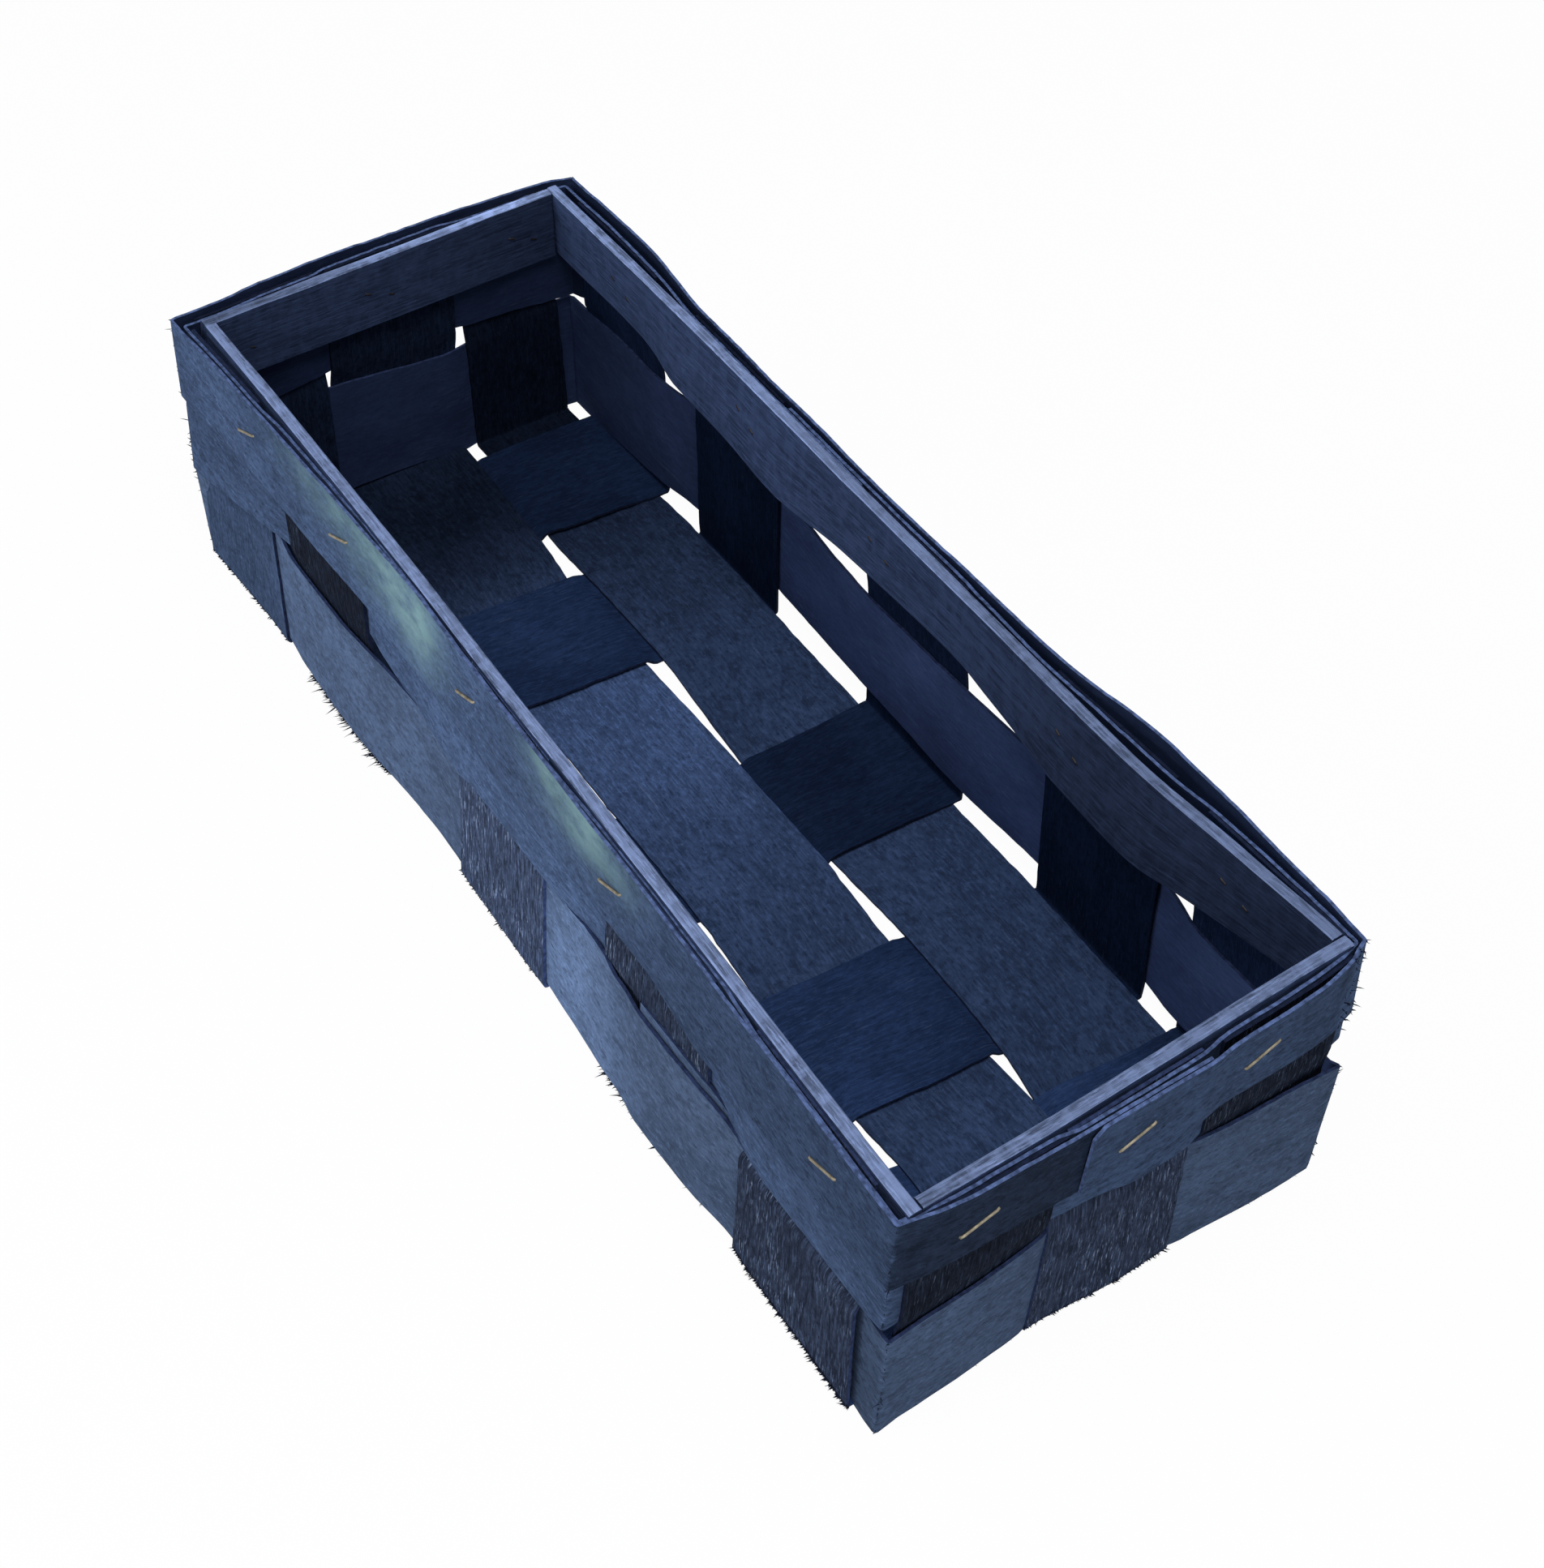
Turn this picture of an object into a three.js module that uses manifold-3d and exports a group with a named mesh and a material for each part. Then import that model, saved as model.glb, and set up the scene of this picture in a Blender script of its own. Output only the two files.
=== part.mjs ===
// A long rectangular basket of dyed wood strips, plain woven, with a stapled rim.
// Millimetres, +Z up. The origin is the middle of the base, on the surface that the basket stands on.
// The long side runs along X: the front wall faces -Y, the right end +X, the back wall +Y, the left end -X.
import * as THREE from "three";
import { mergeVertices } from "three/addons/utils/BufferGeometryUtils.js";
import Module from "manifold-3d";

// The whole basket
const RIM_LENGTH = 320; // over the hoop, from corner to corner
const RIM_WIDTH = 120;
const HEIGHT = 80; // to the top of the rim slats
const END_LEAN = 2.5; // how far an end wall leans in between base and rim
const SIDE_LEAN = 1.2; // the same for a long wall
const SIDE_WAIST = 4.5; // how much further the rim draws a long wall in at mid-length
const END_BELLY = 3; // how far the rim pushes an end wall out at mid-width

// The strips
const STRIP_THICKNESS = 0.8;
const CLEARANCE = 0.3; // between pieces that lie on each other
const BEND_RADIUS = 1.4; // where a strip turns from floor to wall
const CORNER_RADIUS = 1.6; // where a weaver or the hoop turns round a corner
const STRIP_TOP_DROP = 1.5; // strips and the upper weaver end this far below the rim

// The floor: three long strips and five cross strips
const LONG_STRIPS = 3;
const LONG_STRIP_GAP = 2.6;
const CROSS_GAPS = [19, 45, 30, 16.5]; // between neighbouring cross strips, left to right
const FLOOR_INSET = 0.6; // from the nearest bend in the walls to the outermost floor strips
const CROSS_STRIP_SHIFT = 3.5; // the cross strips lie aslant: this far to -X at the front, +X at the back

// The walls: two weavers inside and outside the upright strips by turns
const LOWER_WEAVER_BOTTOM = 3;
const UPPER_WEAVER_WIDTH = 36;
const WEAVER_GAP = 3; // between the lower weaver's top edge and the upper weaver's bottom edge
const LOWER_LAP_START = 5; // the lower weaver's first end, short of the middle of the fourth cross strip
const LOWER_LAP_TUCK = 10; // its last end goes this far under the fifth cross strip
const UPPER_LAP_MARGIN = 3; // its two ends stop this far from the strips beside their lap
const LAP_RAMP = 6; // length over which a lapping end steps out by one layer

// The rim: a hoop outside, four slats inside, staples through both
const HOOP_WIDTH = 23.5;
const HOOP_DROP = 0.5; // hoop's top edge below the slats'
const HOOP_LAP_START = -16; // Y of the hoop's outer end, on the right end wall
const HOOP_LAP = 31;
const HOOP_END_CUT = 6.3; // the outer end's top corner is cut off aslant
const SLAT_WIDTH = 23;
const SLAT_THICKNESS = 3;
const STAPLE_WIDTH = 10;
const STAPLE_WIRE = 0.7;
const STAPLE_CLINCH = 2.6; // length of each leg that is bent over inside
const STAPLE_DROP = 11.6; // crown's middle below the top of the rim
const STAPLE_TILT = 22; // degrees, right end up as seen from outside
// From the middle of the upright strip that each staple holds, as a share of the strip's width
const FRONT_STAPLE_SHIFTS = [0.33, 0.08, -0.44, -0.51, 0.18];
const BACK_STAPLE_SHIFTS = [-0.13, -0.3, 0.33, 0.15, 0.2]; // towards -X
const RIGHT_STAPLE_SHIFTS = [-0.11, -0.1, -0.2];
const LEFT_STAPLE_SHIFTS = [0.2, 0.08, -0.14]; // towards -Y

// Fineness of the curves
const BEND_STEPS = 3;
const LONGEST_STEP = 16; // along a weaver, the hoop or a slat
const STRIP_STEPS = 3; // across a strip's width

const outsideStrip = { color: 0x2c3347, roughness: 0.85, metalness: 0 };
const weaverStrip = { color: 0x465a7d, roughness: 0.75, metalness: 0 };
const slatWood = { color: 0x4a5080, roughness: 0.8, metalness: 0 };
const stapleWire = { color: 0x9b8a5c, roughness: 0.4, metalness: 1 };

const wasm = await Module();
wasm.setup();

// Layers of the wall, counted inwards from the hoop: 0 hoop, 1 outer weave, 2 inner weave, 3 slat
const pitch = STRIP_THICKNESS + CLEARANCE;
const half = { x: RIM_LENGTH / 2 + END_LEAN, y: RIM_WIDTH / 2 + SIDE_LEAN };
const layer = (axis, n) => half[axis] - STRIP_THICKNESS / 2 - n * pitch;
const slatOuter = (axis) => half[axis] - 3 * pitch;
const wallDepth = 3 * pitch + SLAT_THICKNESS + CLEARANCE + STAPLE_WIRE;

// Heights
const floorLevel = (over) => STRIP_THICKNESS / 2 + (over ? pitch : 0);
const stripTop = HEIGHT - STRIP_TOP_DROP;
const upperWeaverBottom = stripTop - UPPER_WEAVER_WIDTH;
const lowerWeaverTop = upperWeaverBottom - WEAVER_GAP;
const hoopBottom = HEIGHT - HOOP_DROP - HOOP_WIDTH;
const hoopLapEnd = HOOP_LAP_START + HOOP_LAP;

// Floor strips as [low, high] intervals: the long ones in Y, the cross ones in X where Y is 0
const floorInset = Math.max(BEND_RADIUS, CORNER_RADIUS) + FLOOR_INSET;
const floorHalfWidth = layer("y", 2) - floorInset;
const longWidth = (2 * floorHalfWidth - (LONG_STRIPS - 1) * LONG_STRIP_GAP) / LONG_STRIPS;
const longSpans = Array.from({ length: LONG_STRIPS }, (_, i) => {
  const low = -floorHalfWidth + i * (longWidth + LONG_STRIP_GAP);
  return [low, low + longWidth];
});
const floorHalfLength = layer("x", 2) - floorInset - CROSS_STRIP_SHIFT;
const crossGapsTotal = CROSS_GAPS.reduce((sum, gap) => sum + gap, 0);
const crossWidth = (2 * floorHalfLength - crossGapsTotal) / (CROSS_GAPS.length + 1);
const crossSpans = [...CROSS_GAPS, 0].map((_, j, gaps) => {
  const before = gaps.slice(0, j).reduce((sum, gap) => sum + gap + crossWidth, 0);
  return [before - floorHalfLength, before - floorHalfLength + crossWidth];
});
const lastCross = crossSpans.length - 1;
const middle = (span) => (span[0] + span[1]) / 2;
const shifted = (span, by) => span.map((edge) => edge + by);
const frontSpans = crossSpans.map((span) => shifted(span, -CROSS_STRIP_SHIFT));
const backSpans = crossSpans.map((span) => shifted(span, CROSS_STRIP_SHIFT));

// The weave: which strip lies on top, and which uprights stand outside the lower weaver
const longOver = (i, j) => (i + j) % 2 === 1;
const crossOutside = (j) => !longOver(0, j);
const longOutside = (i) => longOver(i, 0);

// Rounds the marked points of a polyline, whose points are { x, y, r }
function rounded(points) {
  return points.flatMap((p, k) => {
    const at = new THREE.Vector2(p.x, p.y);
    if (!p.r) return [at];
    const towards = (q) => new THREE.Vector2(q.x, q.y).sub(at).setLength(p.r).add(at);
    const bend = new THREE.QuadraticBezierCurve(towards(points[k - 1]), at, towards(points[k + 1]));
    return bend.getPoints(BEND_STEPS);
  });
}

// Adds points so that no step of a polyline is long
function subdivided(points) {
  return points.flatMap((p, k) => {
    if (k === 0) return [p];
    const steps = Math.ceil(p.distanceTo(points[k - 1]) / LONGEST_STEP);
    return Array.from({ length: steps }, (_, n) => points[k - 1].clone().lerp(p, (n + 1) / steps));
  });
}

// The outline of a band of even thickness along a centreline
function bandShape(centreline, thickness) {
  const normals = centreline.slice(1).map((p, k) => {
    const along = p.clone().sub(centreline[k]).normalize();
    return new THREE.Vector2(-along.y, along.x);
  });
  const side = (offset) =>
    centreline.map((p, k) => {
      const before = normals[Math.max(k - 1, 0)];
      const after = normals[Math.min(k, normals.length - 1)];
      const mitre = before.clone().add(after).normalize();
      return p.clone().addScaledVector(mitre, offset / mitre.dot(before));
    });
  return new THREE.Shape([...side(thickness / 2), ...side(-thickness / 2).reverse()]);
}

// Turns a profile drawn in (Y, Z) and extruded, to stand upright with its depth along X
const acrossToUpright = new THREE.Matrix4().set(0, 0, 1, 0, 1, 0, 0, 0, 0, 1, 0, 0, 0, 0, 0, 1);
const slant = new THREE.Matrix4().makeShear(0, 0, CROSS_STRIP_SHIFT / half.y, 0, 0, 0);

function extruded(shape, depth, steps = 1) {
  return new THREE.ExtrudeGeometry(shape, { depth, steps, bevelEnabled: false });
}

// Sets a straight-walled piece to the basket's real form: walls lean in, the rim is drawn in along the
// sides and pushed out at the ends
function settled(geometry) {
  const points = geometry.getAttribute("position");
  const reach = (value, axis) => THREE.MathUtils.clamp(value / (half[axis] - wallDepth), -1, 1);
  for (let k = 0; k < points.count; k += 1) {
    const x = points.getX(k);
    const y = points.getY(k);
    const rise = points.getZ(k) / HEIGHT;
    const endDraw = END_LEAN - END_BELLY * (1 - (y / half.y) ** 2);
    const sideDraw = SIDE_LEAN + SIDE_WAIST * (1 - (x / half.x) ** 2);
    points.setX(k, x - reach(x, "x") * rise * endDraw);
    points.setY(k, y - reach(y, "y") * rise * sideDraw);
  }
  return geometry;
}

function solidOf(geometry) {
  const bare = new THREE.BufferGeometry().setAttribute("position", geometry.getAttribute("position"));
  if (geometry.index) bare.setIndex(geometry.index);
  const merged = mergeVertices(bare, 1e-3);
  const vertProperties = merged.getAttribute("position").array;
  const triVerts = new Uint32Array(merged.index.array);
  return new wasm.Manifold(new wasm.Mesh({ numProp: 3, vertProperties, triVerts }));
}

function geometryOf(solid) {
  const mesh = solid.getMesh();
  const geometry = new THREE.BufferGeometry();
  geometry.setAttribute("position", new THREE.BufferAttribute(mesh.vertProperties, 3));
  geometry.setIndex(new THREE.BufferAttribute(mesh.triVerts, 1));
  geometry.computeVertexNormals();
  return geometry;
}

// Centreline of a strip that runs over and under the floor and up both walls, in (across, up).
// Each crossing is { span, over }; extraLayers moves the low wall's foot out past a lap.
function uprightCentreline(axis, crossings, extraLayers = 0) {
  const wall = (sign, over, extra) => {
    const foot = layer(axis, over ? 1 - extra : 2);
    const head = layer(axis, over ? 2 : 1);
    return [
      { x: sign * foot, y: floorLevel(over), r: BEND_RADIUS },
      { x: sign * foot, y: lowerWeaverTop },
      { x: sign * head, y: upperWeaverBottom },
      { x: sign * head, y: stripTop },
    ];
  };
  const floor = crossings.flatMap(({ span, over }) => span.map((x) => ({ x, y: floorLevel(over) })));
  const low = wall(-1, crossings[0].over, extraLayers).reverse();
  const high = wall(1, crossings.at(-1).over, 0);
  return rounded([...low, ...floor, ...high]);
}

function longStrip(i) {
  const crossings = crossSpans.map((span, j) => ({ span, over: longOver(i, j) }));
  const shape = bandShape(uprightCentreline("x", crossings), STRIP_THICKNESS);
  const [, high] = longSpans[i];
  return extruded(shape, longWidth, STRIP_STEPS).rotateX(Math.PI / 2).translate(0, high, 0);
}

function crossStrip(j) {
  const crossings = longSpans.map((span, i) => ({ span, over: !longOver(i, j) }));
  const lapped = j === lastCross ? 1 : 0;
  const shape = bandShape(uprightCentreline("y", crossings, lapped), STRIP_THICKNESS);
  return extruded(shape, crossWidth, STRIP_STEPS)
    .applyMatrix4(acrossToUpright)
    .translate(crossSpans[j][0], 0, 0)
    .applyMatrix4(slant);
}

// Stations of a weaver along each wall, going round from the front wall's left end. outer says whether
// the weaver passes outside the uprights that stand outside the lower weaver.
function weaverWalls(outer) {
  const depth = (uprightOutside) => (uprightOutside === outer ? 1 : 2);
  const along = (spans, axis, outside, place) =>
    spans.flatMap((span, k) => span.map((edge) => place(edge, layer(axis, depth(outside(k))))));
  const front = along(frontSpans, "y", crossOutside, (x, wall) => ({ x, y: -wall }));
  const right = along(longSpans, "x", longOutside, (y, wall) => ({ x: wall, y }));
  const back = along(backSpans, "y", crossOutside, (x, wall) => ({ x, y: wall })).reverse();
  const left = along(longSpans, "x", longOutside, (y, wall) => ({ x: -wall, y })).reverse();
  return { front, right, back, left };
}

// Corners between two neighbouring walls of a weaver or the hoop
const endCorner = (side, end) => ({ x: end.x, y: side.y, r: CORNER_RADIUS });

function bandRound(points, width, bottom) {
  return extruded(bandShape(subdivided(rounded(points)), STRIP_THICKNESS), width).translate(0, 0, bottom);
}

// The lower weaver's last end laps outside its first end, from the fourth cross strip to under the fifth
function lowerWeaver() {
  const { front, right, back, left } = weaverWalls(false);
  const lapStart = middle(frontSpans[lastCross - 1]) - LOWER_LAP_START;
  const lapEnd = frontSpans[lastCross][0] + LOWER_LAP_TUCK;
  const lapPoint = (x, n) => ({ x, y: -layer("y", n) });
  const beforeLap = front.slice(0, -3);
  const points = [
    lapPoint(lapStart, 1),
    ...front.slice(-3),
    endCorner(front.at(-1), right[0]),
    ...right,
    endCorner(back[0], right.at(-1)),
    ...back,
    endCorner(back.at(-1), left[0]),
    ...left,
    endCorner(front[0], left.at(-1)),
    ...beforeLap,
    lapPoint(lapStart - CLEARANCE - LAP_RAMP, 1),
    lapPoint(lapStart - CLEARANCE, 0),
    lapPoint(frontSpans[lastCross - 1][1], 0),
    lapPoint(frontSpans[lastCross][0], 1),
    lapPoint(lapEnd, 1),
  ];
  return bandRound(points, lowerWeaverTop - LOWER_WEAVER_BOTTOM, LOWER_WEAVER_BOTTOM);
}

// The upper weaver's ends lap on the back wall, side by side between the second and third cross strips
function upperWeaver() {
  const { front, right, back, left } = weaverWalls(true);
  const [innerEdge, outerEdge] = [backSpans[1][1], backSpans[2][0]];
  const pastLap = back.slice(-4);
  const beforeLap = back.slice(0, -4);
  const points = [
    { x: outerEdge - UPPER_LAP_MARGIN, y: pastLap[0].y },
    ...pastLap,
    endCorner(back.at(-1), left[0]),
    ...left,
    endCorner(front[0], left.at(-1)),
    ...front,
    endCorner(front.at(-1), right[0]),
    ...right,
    endCorner(back[0], right.at(-1)),
    ...beforeLap,
    { x: innerEdge + UPPER_LAP_MARGIN, y: beforeLap.at(-1).y },
  ];
  return bandRound(points, UPPER_WEAVER_WIDTH, upperWeaverBottom);
}

// The hoop's outer end starts on the right end wall and laps over its inner end
function rimHoop() {
  const [x, y] = [layer("x", 0), layer("y", 0)];
  const corner = (signX, signY) => ({ x: signX * x, y: signY * y, r: CORNER_RADIUS });
  const points = [
    { x: x + pitch, y: HOOP_LAP_START },
    { x: x + pitch, y: hoopLapEnd + CLEARANCE },
    { x, y: hoopLapEnd + CLEARANCE + LAP_RAMP },
    corner(1, 1),
    corner(-1, 1),
    corner(-1, -1),
    corner(1, -1),
    { x, y: hoopLapEnd },
  ];
  const cut = new THREE.Shape([
    new THREE.Vector2(-CLEARANCE, CLEARANCE),
    new THREE.Vector2(HOOP_END_CUT, CLEARANCE),
    new THREE.Vector2(-CLEARANCE, -HOOP_END_CUT),
  ]);
  const offcut = extruded(cut, 2 * pitch)
    .applyMatrix4(acrossToUpright)
    .translate(half.x + CLEARANCE / 2, HOOP_LAP_START, HEIGHT - HOOP_DROP);
  return { band: bandRound(points, HOOP_WIDTH, hoopBottom), offcut };
}

// Four laths in a pinwheel: each butts the next one's face at one end and runs past at the other
function rimSlat(quarter) {
  const [along, across] = quarter % 2 === 0 ? ["x", "y"] : ["y", "x"];
  const start = -(slatOuter(along) - SLAT_THICKNESS - CLEARANCE);
  const end = slatOuter(along);
  const steps = Math.ceil((end - start) / LONGEST_STEP);
  return new THREE.BoxGeometry(end - start, SLAT_THICKNESS, SLAT_WIDTH, steps, 1, 1)
    .translate((start + end) / 2, -slatOuter(across) + SLAT_THICKNESS / 2, HEIGHT - SLAT_WIDTH / 2)
    .rotateZ((quarter * Math.PI) / 2);
}

// Puts a piece that faces -Y on one of the four walls: 0 front, 1 right, 2 back, 3 left
function onWall(geometry, quarter, along) {
  const axis = quarter % 2 === 0 ? "y" : "x";
  return geometry
    .rotateY(-THREE.MathUtils.degToRad(STAPLE_TILT))
    .translate(along, -half[axis], HEIGHT - STAPLE_DROP)
    .rotateZ((quarter * Math.PI) / 2);
}

const stapleReach = 3 * pitch + SLAT_THICKNESS;

// A staple: crown on the hoop, legs through hoop, weave and slat, ends bent over inside.
// layersOut counts the extra layers under the crown where the hoop laps.
function staple(layersOut) {
  const crown = -(layersOut * pitch + CLEARANCE + STAPLE_WIRE / 2);
  const inside = stapleReach + CLEARANCE + STAPLE_WIRE / 2;
  const leg = STAPLE_WIDTH / 2 - STAPLE_WIRE / 2;
  const centreline = rounded([
    { x: STAPLE_CLINCH - leg, y: inside },
    { x: -leg, y: inside, r: STAPLE_WIRE },
    { x: -leg, y: crown, r: STAPLE_WIRE },
    { x: leg, y: crown, r: STAPLE_WIRE },
    { x: leg, y: inside, r: STAPLE_WIRE },
    { x: leg - STAPLE_CLINCH, y: inside },
  ]);
  return extruded(bandShape(centreline, STAPLE_WIRE), STAPLE_WIRE).translate(0, 0, -STAPLE_WIRE / 2);
}

// The two holes that a staple's legs make
function stapleHoles() {
  const bore = STAPLE_WIRE + 2 * CLEARANCE;
  const leg = STAPLE_WIDTH / 2 - STAPLE_WIRE / 2;
  const through = stapleReach + 4 * pitch;
  return [-leg, leg].map((x) =>
    new THREE.BoxGeometry(bore, through, bore).translate(x, through / 2 - 2 * pitch, 0),
  );
}

// Every staple's wall, place along it and name
const staples = [
  ["front", 0, frontSpans.map((span, k) => middle(span) + FRONT_STAPLE_SHIFTS[k] * crossWidth)],
  ["right", 1, longSpans.map((span, k) => middle(span) + RIGHT_STAPLE_SHIFTS[k] * longWidth)],
  ["back", 2, backSpans.map((span, k) => -middle(span) + BACK_STAPLE_SHIFTS[k] * crossWidth)],
  ["left", 3, longSpans.map((span, k) => -middle(span) + LEFT_STAPLE_SHIFTS[k] * longWidth)],
].flatMap(([wall, quarter, places]) =>
  places.map((along, k) => {
    const pastStart = along + STAPLE_WIDTH / 2 > HOOP_LAP_START;
    const beforeEnd = along - STAPLE_WIDTH / 2 < hoopLapEnd + CLEARANCE + LAP_RAMP;
    const layersOut = wall === "right" && pastStart && beforeEnd ? 1 : 0;
    return { name: `staple_${wall}_${k + 1}`, quarter, along, layersOut };
  }),
);

const holes = staples
  .flatMap(({ quarter, along }) => stapleHoles().map((hole) => settled(onWall(hole, quarter, along))))
  .map(solidOf)
  .reduce((all, hole) => all.add(hole));

const pierced = (geometry) => geometryOf(solidOf(settled(geometry)).subtract(holes));

const basket = new THREE.Group();
function addPiece(name, geometry, finish) {
  const mesh = new THREE.Mesh(geometry, new THREE.MeshStandardMaterial(finish));
  mesh.name = name;
  basket.add(mesh);
}

["front", "middle", "back"].forEach((place, i) => {
  addPiece(`long_strip_${place}`, pierced(longStrip(i)), outsideStrip);
});
crossSpans.forEach((_, j) => addPiece(`cross_strip_${j + 1}`, pierced(crossStrip(j)), outsideStrip));
addPiece("lower_weaver", settled(lowerWeaver()), weaverStrip);
addPiece("upper_weaver", pierced(upperWeaver()), weaverStrip);
const { band, offcut } = rimHoop();
const hoop = solidOf(settled(band)).subtract(solidOf(settled(offcut))).subtract(holes);
addPiece("rim_hoop", geometryOf(hoop), weaverStrip);
["front", "right", "back", "left"].forEach((place, quarter) => {
  addPiece(`rim_slat_${place}`, pierced(rimSlat(quarter)), slatWood);
});
for (const { name, quarter, along, layersOut } of staples) {
  addPiece(name, settled(onWall(staple(layersOut), quarter, along)), stapleWire);
}

export default basket;
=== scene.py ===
import math

import bpy
import numpy as np
from bpy.props import FloatProperty, FloatVectorProperty, IntProperty, PointerProperty
from mathutils import Matrix, Vector


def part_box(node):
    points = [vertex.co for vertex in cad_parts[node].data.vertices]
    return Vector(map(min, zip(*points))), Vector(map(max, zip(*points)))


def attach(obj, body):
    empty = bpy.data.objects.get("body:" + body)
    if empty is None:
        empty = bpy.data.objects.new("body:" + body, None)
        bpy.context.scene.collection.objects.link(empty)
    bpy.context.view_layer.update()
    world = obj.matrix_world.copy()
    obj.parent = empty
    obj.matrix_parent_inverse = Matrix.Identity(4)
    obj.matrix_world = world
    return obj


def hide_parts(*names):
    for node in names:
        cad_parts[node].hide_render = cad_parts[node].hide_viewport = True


bl_info = {
    "name": "Woven chip basket",
    "version": (1, 0, 0),
    "blender": (4, 5, 0),
    "location": "3D View > Sidebar > Basket",
    "description": "Builds a plain woven basket of dyed wood strips with a stapled rim",
    "category": "Add Mesh",
}

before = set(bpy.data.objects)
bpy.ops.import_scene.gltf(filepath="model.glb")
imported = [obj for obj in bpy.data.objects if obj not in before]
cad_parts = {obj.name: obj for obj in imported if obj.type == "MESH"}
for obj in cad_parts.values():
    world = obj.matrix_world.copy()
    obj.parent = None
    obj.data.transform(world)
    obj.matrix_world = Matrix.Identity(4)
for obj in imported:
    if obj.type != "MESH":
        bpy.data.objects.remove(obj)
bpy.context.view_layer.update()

MM = 0.001
WALLS = ("front", "right", "back", "left")
LONG_NAMES = ("long_strip_front", "long_strip_middle", "long_strip_back")
CROSS_NAMES = tuple(f"cross_strip_{k}" for k in range(1, 6))
SLAT_NAMES = tuple(f"rim_slat_{wall}" for wall in WALLS)
STAPLE_COUNTS = {"front": 5, "right": 3, "back": 5, "left": 3}
STAPLE_NAMES = tuple(f"staple_{wall}_{k + 1}" for wall in WALLS for k in range(STAPLE_COUNTS[wall]))

# The tables below give millimetres at places along each wall: X on the long walls, Y on the ends.
# A single number holds along the whole wall.

# How far the rim is drawn in from upright: the hoop bulges between its staples, the slats stay straighter
HOOP_DRAW = {
    "front": (
        (-162, 1.2), (-140, 2.6), (-100, 4.4), (-44, 6.2), (-15, 5.6),
        (16, 4.8), (64, 3.9), (100, 3.0), (135, 2.1), (162, 1.2),
    ),
    "right": ((-61, 2.5), (-52, 0.9), (-42, -0.1), (-18, -0.6), (25, -0.3), (45, 0.4), (54, 1.7), (61, 4.2)),
    "back": (
        (-162, -0.6), (-125, -1.6), (-92, 1.6), (-45, 2.4), (0, 3.1), (24, 2.9),
        (60, 2.2), (100, -1.9), (116, -1.8), (138, -1.0), (150, -1.0), (162, 0.0),
    ),
    "left": (
        (-61, 0.1), (-49, -0.4), (-34, -2.3), (-10, -3.4), (15, -3.6), (43, -2.8), (54, -2.2), (61, -0.2),
    ),
}
SLAT_DRAW = {
    "front": ((-160, 4.5), (-120, 4.8), (-80, 4.8), (-40, 4.5), (0, 3.8), (30, 3.4), (65, 2.9), (160, 1.2)),
    "right": ((-57, -0.2), (-30, -0.2), (0, 0.3), (57, 1.5)),
    "back": ((-160, 2.3), (-92, 2.3), (-5, 3.5), (20, 3.7), (92, 4.3), (129, 1.8), (160, 0.1)),
    "left": ((-57, 1.8), (-30, 1.0), (0, 0.1), (20, -0.6), (40, -1.4), (57, -1.8)),
}
# Share of the room between slat and hoop by which the weave leans towards the hoop
WEAVE_LEAN = {"front": 0.65, "right": 0.6, "back": 0.4, "left": 0.5}
# How far the walls stand out at the base
BASE_SPREAD = {
    "front": (
        (-162, 2.4), (-122, 0.8), (-95, 1.4), (-75, 1.6), (-50, 0.3), (-35, -0.3), (-8, 0.9),
        (28, 1.3), (67, 2.2), (90, 1.7), (104, 0.9), (118, 1.6), (142, 1.8), (162, 2.2),
    ),
    "right": ((-61, 1.0), (-40, 0.7), (-18, -0.2), (6, 1.4), (22, 1.2), (44, 2.8), (61, 3.0)),
    "back": 0.8,
    "left": ((-61, 1.6), (-35, 0.8), (61, 0.8)),
}
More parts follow.
